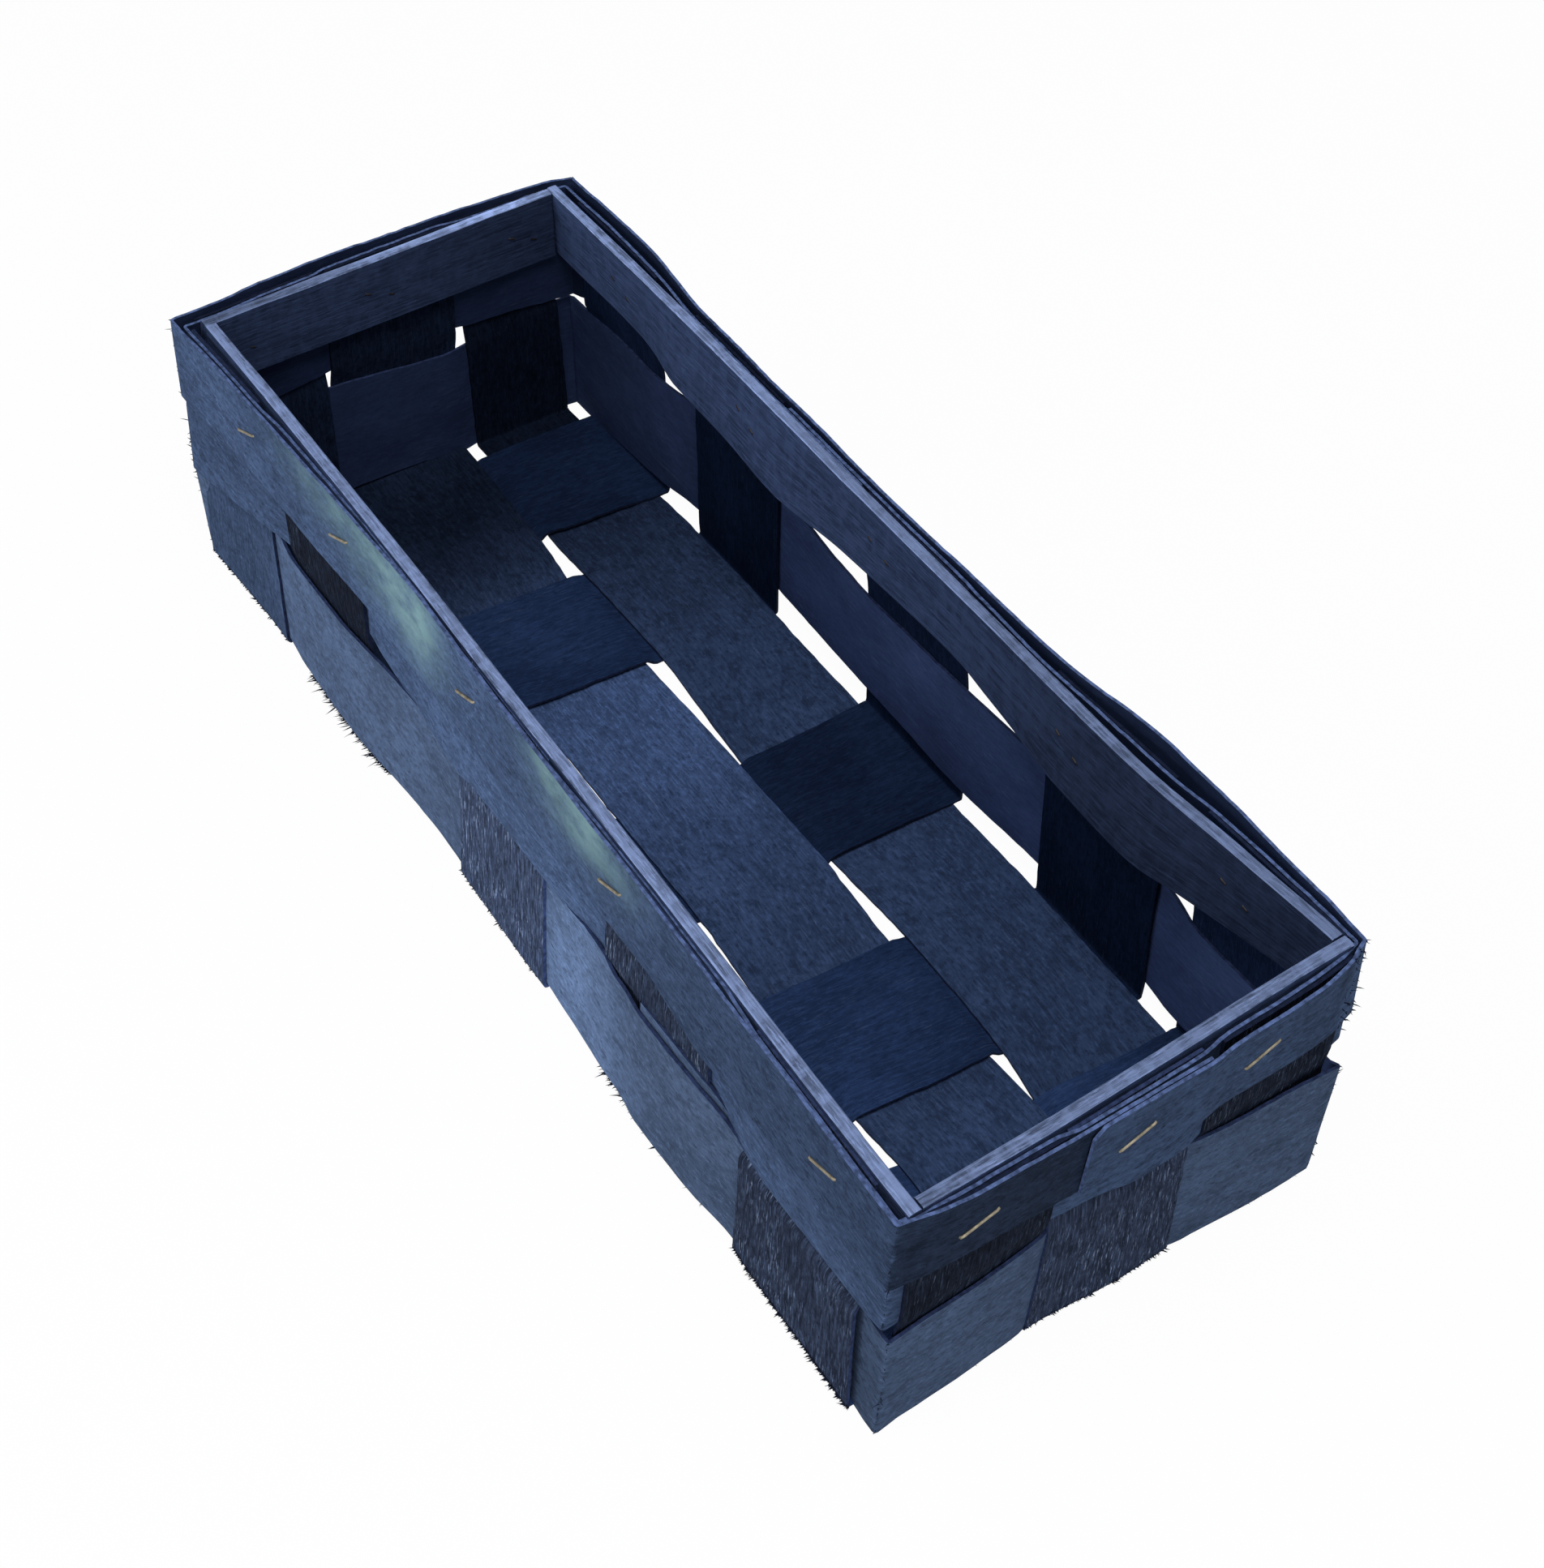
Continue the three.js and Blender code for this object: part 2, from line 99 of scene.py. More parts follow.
# How much higher than its usual height an edge runs
EDGE_RISE = {
    "lower_bottom": {
        "front": ((-162, -0.8), (-113, 0.0), (112, -0.5), (150, -1.5), (162, -2.7)),
        "right": ((-61, -2.7), (-52, -1.4), (-20, -1.2), (0, -0.5), (25, -1.0), (61, -0.8)),
        "back": (
            (-162, -2.0), (-140, -0.5), (-112, 2.2), (-92, 4.8), (-51, 6.2), (-6, 6.0),
            (33, 4.2), (64, 5.5), (103, 3.2), (120, 2.8), (145, 2.2), (162, 0.5),
        ),
        "left": ((-61, -0.8), (-20, 0.0), (5, -0.5), (19, -2.5), (40, -1.0), (61, -2.0)),
    },
    "lower_top": {
        "front": (
            (-162, -0.5), (-113, 0.5), (-106, -1.1), (-78, -1.1), (-53, 0.9), (0, 1.5), (35, 2.0),
            (44, 3.9), (52, 3.9), (57, 1.6), (70, 2.2), (95, 3.0), (106, 0.8), (112, -2.2), (162, -2.6),
        ),
        "right": (
            (-61, -2.6), (-49, -0.6), (-39, 0.2), (-30, 1.0), (-22, 2.2),
            (0, 2.5), (20, 3.8), (30, 3.0), (48, 3.0), (55, 2.2), (61, 0.4),
        ),
        "back": (
            (-162, 1.0), (-151, 1.4), (-134, 3.2), (-117, 3.5), (-108, 4.5), (-92, 6.4), (-43, 6.1),
            (-25, 4.5), (-11, 3.7), (19, 5.0), (41, 5.7), (59, 5.7), (107, 4.1), (117, 0.9),
            (137, 0.0), (162, -0.4),
        ),
        "left": ((-61, -0.5), (-18, 0.8), (19, -2.6), (40, -1.4), (61, 0.5)),
    },
    "upper_bottom": {
        "front": (
            (-162, -12.0), (-147, -9.3), (-125, -4.6), (-119, -3.0), (-90, 0.5), (-64, 2.4), (-57, 0.0),
            (-44, -2.2), (-18, -4.3), (-10, -2.0), (12, -0.9), (23, -1.2), (60, -3.5), (112, -6.0),
            (120, -4.2), (135, -3.4), (152, -2.8), (162, -1.5),
        ),
        "right": ((-61, -1.5), (-40, 3.5), (-12, 6.0), (-4, 4.6), (1, 3.1), (14, 2.7), (35, 6.0), (61, 5.0)),
        "back": ((-162, -1.0), (-150, 3.0), (-112, 13.5), (120, 13.5), (162, 5.0)),
        "left": (
            (-61, -12.0), (-50, -1.0), (-38, 1.5), (-20, 3.0), (20, 1.5), (38, 1.0), (52, -0.5), (61, -1.0),
        ),
    },
    "hoop_bottom": {
        "front": (
            (-162, -1.0), (-104, -0.2), (-65, 0.0), (-47, -2.2), (-20, -1.8), (8, -1.0),
            (54, 0.7), (70, 1.2), (82, -1.0), (95, -2.8), (120, -1.0), (162, 2.0),
        ),
        "right": ((-61, 2.0), (-30, 2.3), (-16, 1.0), (0, 0.5), (30, 1.5), (61, 1.0)),
        "back": ((-162, 0.0), (162, 1.0)),
        "left": ((-61, -1.0), (61, 0.0)),
    },
}
# How far a band's loose edge stands off what it lies on
LOWER_FLARE = {
    "front": ((-162, 2.0), (-140, 0.3), (-76, 0.3), (80, 0.4), (110, 0.0), (150, 0.0), (162, 0.4)),
    "right": ((-61, 0.4), (-45, 0.2), (-14, 0.0), (14, 0.0), (40, 0.4), (61, 1.6)),
    "back": ((-162, 0.6), (-110, 0.0), (-75, 0.6), (-40, 0.0), (40, 0.0), (80, 0.6), (112, 0.0), (162, 1.0)),
    "left": ((-61, 2.0), (-40, 0.4), (-16, 0.0), (16, 0.0), (40, 1.0), (61, 0.6)),
}
UPPER_FLARE = {
    "front": (
        (-162, 1.4), (-135, 1.3), (-115, 0.7), (-95, 0.0), (-40, 0.2), (5, 0.6),
        (35, 0.0), (100, 0.0), (125, 0.4), (162, 0.2),
    ),
    "right": ((-61, 0.2), (-20, 0.3), (0, 0.6), (20, 0.3), (61, 0.4)),
    "back": ((-162, 0.0), (162, 0.4)),
    "left": ((-61, 1.4), (-40, 0.0), (61, 0.0)),
}
HOOP_FLARE = {
    "front": 0.0,
    "right": ((-61, 0.0), (-50, 0.2), (-15, 0.2), (5, 0.2), (26, 0.6), (40, 0.7), (55, 0.3), (61, 0.0)),
    "back": 0.0,
    "left": 0.0,
}
# How far the slats' lower edges bow inwards, and down by as much
SLAT_BOW = {
    "front": 0.0,
    "right": 0.0,
    "back": (
        (-150, -0.9), (-127, -1.1), (-113, -0.9), (-106, -0.3), (-93, 1.4), (-69, 1.7), (-45, 2.6),
        (-15, 0.6), (30, -0.5), (45, 0.4), (55, 1.1), (73, 2.7), (99, 3.2), (115, 1.6), (125, 0.6),
        (137, -0.5), (150, -1.4),
    ),
    "left": -1.2,
}
# How far each upright's edges stray along its wall: low edge at foot and head, high edge at foot and head
STRIP_STRAY = {
    "front": (
        (0.0, 0.0, 3.2, -5.0),
        (-0.3, -13.0, 1.7, -11.0),
        (-2.8, -2.8, -0.5, -1.8),
        (-2.3, -2.3, -0.3, -0.3),
        (-0.7, -0.7, 2.9, 0.0),
    ),
    "back": (
        (-0.8, 0.0, -0.9, -0.9),
        (0.8, 0.8, -0.5, 2.5),
        (-3.0, -3.0, -1.0, -1.0),
        (2.5, 2.5, 2.4, 2.4),
        (-1.1, -1.1, 0.0, 0.0),
    ),
    "right": ((-0.3, -0.3, 0.0, 0.0), (-1.6, -1.6, 0.5, -2.8), (-0.4, -0.4, 0.0, 0.0)),
    "left": ((0.0, 0.0, 0.5, 0.5), (-2.6, 1.1, 1.3, 4.5), (3.2, 3.2, -2.0, -3.0)),
}
# How far the strips' edges stray on the floor, by strip and edge: along X for long, along Y for cross strips
LONG_STRAY = {
    (1, 0): ((28, 0.0), (60, -0.8), (101, -0.8), (118, 0.0)),
    (1, 1): (
        (-113, -0.1), (-95, -1.1), (-56, -0.3), (-11, 0.3), (29, 0.4), (60, -0.5), (101, -0.5), (118, 0.0),
    ),
    (2, 0): (
        (-150, 0.0), (-113, 0.6), (-95, 0.7), (-56, 1.4), (-11, -0.9),
        (29, -0.2), (60, 1.0), (101, -0.4), (118, -2.3), (150, 0.0),
    ),
    (2, 1): ((-160, 0.0), (-93, 0.7), (-54, 0.8), (60, 0.6), (119, 0.2), (160, 0.0)),
}
CROSS_STRAY = {
    (0, 0): ((5, 0.0), (19, 1.0), (33, 0.0)),
    (0, 1): ((-33, 0.0), (-19, -1.0), (-5, 0.0), (5, 0.0), (19, -1.0), (33, 0.0)),
    (1, 1): ((-33, 0.0), (-19, -0.8), (-5, 0.0)),
}

# How dark or light each strip is made, as a share: along Y on cross strips, along X on long strips. This is
# partly the strip's uneven dye and partly painted shade and painted light, such as the painted shade inside
# the far end
CROSS_DYE_AND_SHADING = (
    ((-61, 0.6), (-45, 0.35), (0, 0.3), (38, 0.34), (61, 0.4)),
    ((-61, 0.45), (-8, 0.68), (38, 0.5), (55, 0.28), (61, 0.28)),
    ((-61, 2.2), (-40, 0.9), (0, 0.5), (39, 0.32), (61, 0.4)),
    ((-61, 1.2), (0, 0.74), (38, 0.5), (55, 0.33), (61, 0.33)),
    ((-61, 1.15), (0, 1.0), (38, 0.8), (61, 0.5)),
)
LONG_DYE_AND_SHADING = (
    ((-161, 0.3), (-80, 0.8), (60, 1.2), (161, 0.42)),
    ((-161, 0.3), (-138, 0.22), (-115, 0.41), (-80, 1.25), (-40, 2.05), (13, 1.45), (60, 1.1), (161, 1.18)),
    ((-161, 0.17), (-100, 0.6), (-40, 1.0), (50, 1.08), (100, 1.0), (161, 0.4)),
)
# The bands' and slats' shares below are likewise partly uneven dye and partly painted shade and painted
# light, such as the painted light on the inside of the back wall and on the left slat's top
LOWER_DYE_AND_SHADING = {
    "front": (
        (-162, 0.8), (-90, 0.95), (-30, 0.9), (10, 1.0), (40, 1.45),
        (60, 1.0), (80, 0.76), (120, 0.7), (155, 0.5), (162, 0.5),
    ),
    "right": ((-61, 0.62), (61, 0.58)),
    "back": ((-162, 1.1), (0, 1.95), (162, 2.1)),
    "left": 0.8,
}
UPPER_DYE_AND_SHADING = {
    "front": ((-162, 0.64), (-110, 0.7), (0, 0.9), (130, 0.65), (162, 0.6)),
    "right": 0.5,
    "back": 0.6,
    "left": 0.6,
}
HOOP_DYE_AND_SHADING = {
    "front": (
        (-162, 0.68), (-138, 0.8), (-108, 0.68), (-20, 0.84), (10, 0.68),
        (36, 0.72), (70, 0.58), (120, 0.5), (162, 0.46),
    ),
    "right": ((-61, 0.46), (30, 0.48), (61, 0.42)),
    "back": 0.6,
    "left": 0.6,
}
SLAT_DYE_AND_SHADING = {
    "front": 1.1,
    "right": 1.3,
    "back": ((-160, 1.65), (-100, 1.55), (0, 1.45), (40, 1.25), (60, 0.95), (90, 0.65), (160, 0.65)),
    "left": ((-57, 1.05), (0, 0.98), (25, 0.8), (57, 0.6)),
}
SLAT_TOP_DYE_AND_SHADING = {
    "front": 1.0,
    "right": 0.85,
    "back": ((-160, 1.2), (-60, 1.05), (-30, 0.8), (60, 0.75), (160, 0.7)),
    "left": ((-57, 0.6), (-25, 0.65), (0, 1.3), (20, 1.5), (37, 2.1), (57, 1.3)),
}


def from_srgb(code):
    """A colour written as RRGGBB, as linear RGBA."""
    parts = [int(code[k : k + 2], 16) / 255 for k in (0, 2, 4)]
    return tuple(c / 12.92 if c <= 0.04045 else ((c + 0.055) / 1.055) ** 2.4 for c in parts) + (1.0,)


def length(name, description, millimetres):
    return FloatProperty(
        name=name, description=description, default=millimetres * MM, unit="LENGTH", subtype="DISTANCE"
    )


def colour(name, description, code):
    return FloatVectorProperty(
        name=name, description=description, default=from_srgb(code), size=4, min=0, max=1, subtype="COLOR"
    )


def low_high(node_name, axis):
    """A CAD node's reach along an axis, in millimetres."""
    low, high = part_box(node_name)
    return low[axis] / MM, high[axis] / MM


SLAT_LOW, SLAT_HIGH = low_high("rim_slat_front", 2)
HOOP_LOW, HOOP_HIGH = low_high("rim_hoop", 2)
LOWER_LOW, LOWER_HIGH = low_high("lower_weaver", 2)
UPPER_LOW, UPPER_HIGH = low_high("upper_weaver", 2)


class BasketSizes(bpy.types.PropertyGroup):
    """Sizes of the basket and its strips"""

    base_length: length("Base length", "Over the end walls at the base", 325)
    base_width: length("Base width", "Over the long walls at the base", 122.4)
    height: length("Height", "To the top of the rim slats", SLAT_HIGH)
    strip_thickness: length("Strip thickness", "Thickness of the veneer", 0.8)
    layer_gap: length("Layer gap", "Air between strips that lie on each other", 0.3)
    bend: length("Bend", "How wide a strip's bend from floor to wall is", 1.4)
    edge_curl: length("Edge curl", "How far the cross strips' edges lift off the floor", 0.9)
    long_gap: length("Long strip gap", "Between neighbouring long strips", 2.6)
    slant: length("Slant", "How far the cross strips lie aslant to each side", 3.4)
    strip_top: length("Strip top", "Height at which the uprights end", UPPER_HIGH)
    lower_bottom: length("Lower weaver bottom", "Usual height of its bottom edge", LOWER_LOW)
    lower_top: length("Lower weaver top", "Usual height of its top edge", LOWER_HIGH)
    upper_bottom: length("Upper weaver bottom", "Usual height of its bottom edge", UPPER_LOW)
    upper_top: length("Upper weaver top", "Height of its top edge", UPPER_HIGH)
    hoop_bottom: length("Hoop bottom", "Usual height of its bottom edge", HOOP_LOW)
    hoop_top: length("Hoop top", "Height of its top edge", HOOP_HIGH)
    hoop_lap_start: length("Hoop lap start", "Y of its outer end on the right wall", -16)
    hoop_lap: length("Hoop lap", "How far its two ends lie on each other", 31)
    hoop_end_cut: length("Hoop end cut", "Corner cut off its outer end", 2.5)
    slat_width: length("Slat width", "Height of the rim slats", SLAT_HIGH - SLAT_LOW)
    slat_thickness: length("Slat thickness", "Thickness of the rim slats", 3)
    staple_wire: length("Staple wire", "Thickness of the staples", 0.7)
    staple_crown: length("Staple crown", "Width of the staples", 10)
    seed: IntProperty(name="Seed", description="Start of the random unevenness", default=7)


class BasketColours(bpy.types.PropertyGroup):
    """Colours of the basket's finishes"""

    weaver_face: colour("Weaver face", "Smooth outer side of the lower weaver", "586b8c")
    hoop_face: colour("Hoop face", "Smooth outer side of the hoop and the upper weaver", "54698f")
    weaver_back: colour("Weaver back", "Inner side of weavers and hoop", "2e3b5c")
    upright_face: colour("Upright face", "Rough outer side of the uprights", "2d364a")
    long_back: colour("Long strip inside", "Inner side of the long strips", "324262")
    cross_back: colour("Cross strip inside", "Inner side of the cross strips", "2c4068")
    strip_edge: colour("Strip edge", "Cut edges of the strips", "2a3554")
    hoop_edge: colour("Hoop edge", "Cut edges of the hoop and the upper weaver", "4c5d86")
    torn_fibre: colour("Torn fibre", "Pale fibres torn up from the grain", "7f90b0")
    stain: colour("Stain", "Green blotches on the hoop", "8fb4bc")
    slat: colour("Slat", "Sides of the rim slats", "313e5c")
    slat_top: colour("Slat top", "Sawn top of the rim slats", "7283ab")
    loose_fibre: colour("Loose fibre", "Fibres that stand out at the bends", "1a2133")
    brass: colour("Brass", "Staple wire", "938b78")
    staple_end: colour("Staple end", "Tarnished staple ends inside", "2c2a2c")
    floor: colour("Floor", "Floor under the basket", "f2f4f4")


def smooth_line(knots, at):
    """Values of a smooth line through (place, value) knots, without overshoot and flat beyond both ends.

    A number in place of the knots is the same everywhere."""
    if isinstance(knots, float):
        return np.full(np.shape(at), knots)
    places, values = (np.array(column, float) for column in zip(*knots))
    rises = np.diff(values) / np.diff(places)
    product = rises[1:] * rises[:-1]
    slopes = np.zeros(len(places))
    slopes[1:-1] = np.where(product > 0, 2 * product / np.where(product > 0, rises[1:] + rises[:-1], 1), 0)
    at = np.clip(np.asarray(at, float), places[0], places[-1])
    k = np.clip(np.searchsorted(places, at, side="right") - 1, 0, len(places) - 2)
    step = places[k + 1] - places[k]
    f = (at - places[k]) / step
    return (
        (2 * f**3 - 3 * f**2 + 1) * values[k]
        + (f**3 - 2 * f**2 + f) * step * slopes[k]
        + (3 * f**2 - 2 * f**3) * values[k + 1]
        + (f**3 - f**2) * step * slopes[k + 1]
    )


def eased(value):
    """0 to 1 with soft ends."""
    value = np.clip(value, 0, 1)
    return value * value * (3 - 2 * value)


class Form:
    """The basket's layers, spans and walls in millimetres.

    Layers count inwards from the hoop: 0 hoop, 1 outer weave, 2 inner weave. A wall's own coordinates
    are along (X or Y) and out (distance from the middle of the basket)."""

    def __init__(self, sizes):
        for name in BasketSizes.__annotations__:
            if name != "seed":
                setattr(self, name, getattr(sizes, name) / MM)
        self.seed = sizes.seed
        self.pitch = self.strip_thickness + self.layer_gap
        self.half = {"x": self.base_length / 2, "y": self.base_width / 2}
        self.wall_depth = 3 * self.pitch + self.slat_thickness + 1
        middle = low_high(LONG_NAMES[1], 1)
        self.long_spans = [
            (low_high(LONG_NAMES[0], 1)[0], middle[0] - self.long_gap),
            middle,
            (middle[1] + self.long_gap, low_high(LONG_NAMES[2], 1)[1]),
        ]
        boxes = [low_high(name, 0) for name in CROSS_NAMES]
        self.cross_spans = [(low + self.slant, high - self.slant) for low, high in boxes]

    def layer(self, axis, n):
        return self.half[axis] - self.strip_thickness / 2 - n * self.pitch

    def slat_outer(self, axis):
        return self.half[axis] - 3 * self.pitch

    def floor_level(self, over):
        return self.strip_thickness / 2 + (self.pitch if over else 0)

    def edge(self, name, wall, along):
        """Height of a band's edge on a wall."""
        return getattr(self, name) + smooth_line(EDGE_RISE[name][wall], along)

    def stray(self, wall, n, k, level):
        """How far an upright's low (k 0) or high (k 1) edge strays along a wall at a height."""
        foot, head = STRIP_STRAY[wall][n][2 * k : 2 * k + 2]
        return foot + (head - foot) * level / self.height

    def strip_edge(self, wall, n, k, level):
        """Where that edge stands along a wall at a height."""
        stray = self.stray(wall, n, k, level)
        if wall in ("left", "right"):
            return self.long_spans[n][k] + stray
        return self.cross_spans[n][k] + stray + (self.slant if wall == "back" else -self.slant)

    def round_value(self, tables, path):
        """A value from per-wall tables at plan points round the basket."""
        x, y = path[:, 0], path[:, 1]
        on_end = self.half["x"] - np.abs(x) < self.half["y"] - np.abs(y)
        side = np.where(y < 0, smooth_line(tables["front"], x), smooth_line(tables["back"], x))
        end = np.where(x > 0, smooth_line(tables["right"], y), smooth_line(tables["left"], y))
        return np.where(on_end, end, side)

    def round_edge(self, name, path):
        """Height of a band's edge at plan points round the basket."""
        return getattr(self, name) + self.round_value(EDGE_RISE[name], path)

    def draw(self, group, wall, along):
        """How far a group of layers is drawn in at the rim."""
        if group == "weave":
            hoop, slat = self.draw("hoop", wall, along), self.draw("slat", wall, along)
            return slat + (hoop - slat) * WEAVE_LEAN[wall]
        return smooth_line((HOOP_DRAW if group == "hoop" else SLAT_DRAW)[wall], along)

    def settle(self, points, group, flare=None, share=0.0):
        """Moves straight-walled points to the basket's real form; flare pushes a share of them out."""
        x, y, z = np.moveaxis(points, -1, 0)
        rise = z / self.height
        moved = []
        for value, along, axis, walls in ((x, y, "x", ("left", "right")), (y, x, "y", ("front", "back"))):
            pushes = []
            for wall in walls:
                spread = smooth_line(BASE_SPREAD[wall], along)
                push = spread * (1 - rise) - self.draw(group, wall, along) * rise
                if flare:
                    push = push + smooth_line(flare[wall], along) * share
                pushes.append(push)
            reach = np.clip(value / (self.half[axis] - self.wall_depth), -1, 1)
            moved.append(value + reach * np.where(value < 0, *pushes))
        return np.stack([*moved, z], -1)


def long_over(i, j):
    return (i + j) % 2 == 1


def cross_outside(j):
    return not long_over(0, j)


def long_outside(i):
    return long_over(i, 0)


# Unevenness: height and usual wavelength of a surface, and how ragged a cut edge is
STRIP_WAVES, BAND_WAVES, SLAT_WAVES = (0.07, 34), (0.08, 38), (0.09, 30)
STRIP_RAGGED, BAND_RAGGED = 0.14, 0.13
# Each piece's grain starts at a random place within this reach
GRAIN_REACH = 3000
# Product of a normal's X and Y beyond which a band is creased
CREASED = 0.2
# How a path is sampled, and how softly strips bend over each other and round corners
FINE_STEP = 0.5
LONGEST_STEP = 2.2
SHARPEST_TURN = math.radians(9)
WEAVE_SOFTNESS = 1.8
CREASE_SOFTNESS = 0.4
BEND_SOFTNESS = 0.55


def softened(path, width):
    """Evens out the kinks of finely sampled paths, over a width in samples; the ends stay."""
    reach = max(1, int(3 * width))
    weights = np.exp(-0.5 * (np.arange(-reach, reach + 1) / width) ** 2)
    weights /= weights.sum()
    before = 2 * path[:1] - path[reach:0:-1]
    after = 2 * path[-1:] - path[-2 : -reach - 2 : -1]
    padded = np.concatenate([before, path, after])
    return sum(w * padded[k : k + len(path)] for k, w in enumerate(weights))


def along_knots(knots, softness):
    """Finely sampled, softened paths through knots, an array of shape (knot, column, coordinate)."""
    knots = np.asarray(knots, float)
    rows = [knots[:1]]
    for a, b in zip(knots[:-1], knots[1:]):
        steps = max(1, int(np.ceil(np.linalg.norm(b - a, axis=-1).mean() / FINE_STEP)))
        f = (np.arange(1, steps + 1) / steps)[:, None, None]
        rows.append(a + (b - a) * f)
    return softened(np.concatenate(rows), softness / FINE_STEP)


def thinned(path):
    """Numbers of the samples to keep: close together in bends, further apart on straight runs."""
    line = path[:, path.shape[1] // 2]
    steps = np.diff(line, axis=0)
    lengths = np.linalg.norm(steps, axis=1)
    headings = steps / np.maximum(lengths, 1e-9)[:, None]
    turns = np.arccos(np.clip((headings[1:] * headings[:-1]).sum(1), -1, 1))
    keep, run, turned = [0], 0.0, 0.0
    for k in range(1, len(line) - 1):
        run += lengths[k - 1]
        turned += turns[k - 1]
        if run >= LONGEST_STEP or turned >= SHARPEST_TURN:
            keep.append(k)
            run = turned = 0.0
    return np.array(keep + [len(line) - 1])


def columns(width):
    """Places across a strip from 0 to 1, closer together at its edges."""
    inner = np.linspace(0, 1, max(6, int(round(width / 3.6))) + 1)
    rim = 0.5 / width
    return np.unique(np.concatenate([inner, [rim, 1 - rim]]))


def waves(rng, along, across, size, reach):
    """A smooth random surface: size is its height, reach its usual wavelength."""
    total = np.zeros(np.broadcast(along, across).shape)
    for _ in range(6):
        angle, phase, scale = rng.uniform(0, 2 * np.pi), rng.uniform(0, 2 * np.pi), rng.uniform(0.6, 1.6)
        heading = np.cos(angle) * along + np.sin(angle) * across
        total += np.sin(2 * np.pi / (reach * scale) * heading + phase)
    return total * size / math.sqrt(6)


def ragged(rng, count, size):
    """Small unevenness of a cut edge, one value per row."""
    fine = rng.normal(0, 1, count)
    coarse = np.convolve(rng.normal(0, 1, count + 8), np.ones(9) / 3, "valid")
    return size * (0.45 * fine + 0.75 * coarse)


def linked(name, data):
    """A new object in the scene."""
    made = bpy.data.objects.new(name, data)
    bpy.context.scene.collection.objects.link(made)
    return made


def linked_piece(name, points, faces, materials, slots, grain, values, sharp):
    """A new object from points in millimetres; grain holds one (along, across) per face corner."""
    mesh = bpy.data.meshes.new(name)
    mesh.from_pydata((np.asarray(points) * MM).tolist(), [], faces)
    for material in materials:
        mesh.materials.append(finish(material))
    mesh.polygons.foreach_set("material_index", np.asarray(slots, np.int32))
    mesh.polygons.foreach_set("use_smooth", np.ones(len(faces), bool))
    if grain is not None:
        layer = mesh.uv_layers.new(name="grain")
        layer.data.foreach_set("uv", (np.asarray(grain) * MM).astype(np.float32).reshape(-1))
    for key, value in values.items():
        attribute = mesh.attributes.new(key, "FLOAT", "POINT")
        attribute.data.foreach_set("value", np.asarray(value, np.float32))
    mesh.set_sharp_from_angle(angle=math.radians(sharp))
    mesh.validate()
    return linked(name, mesh)


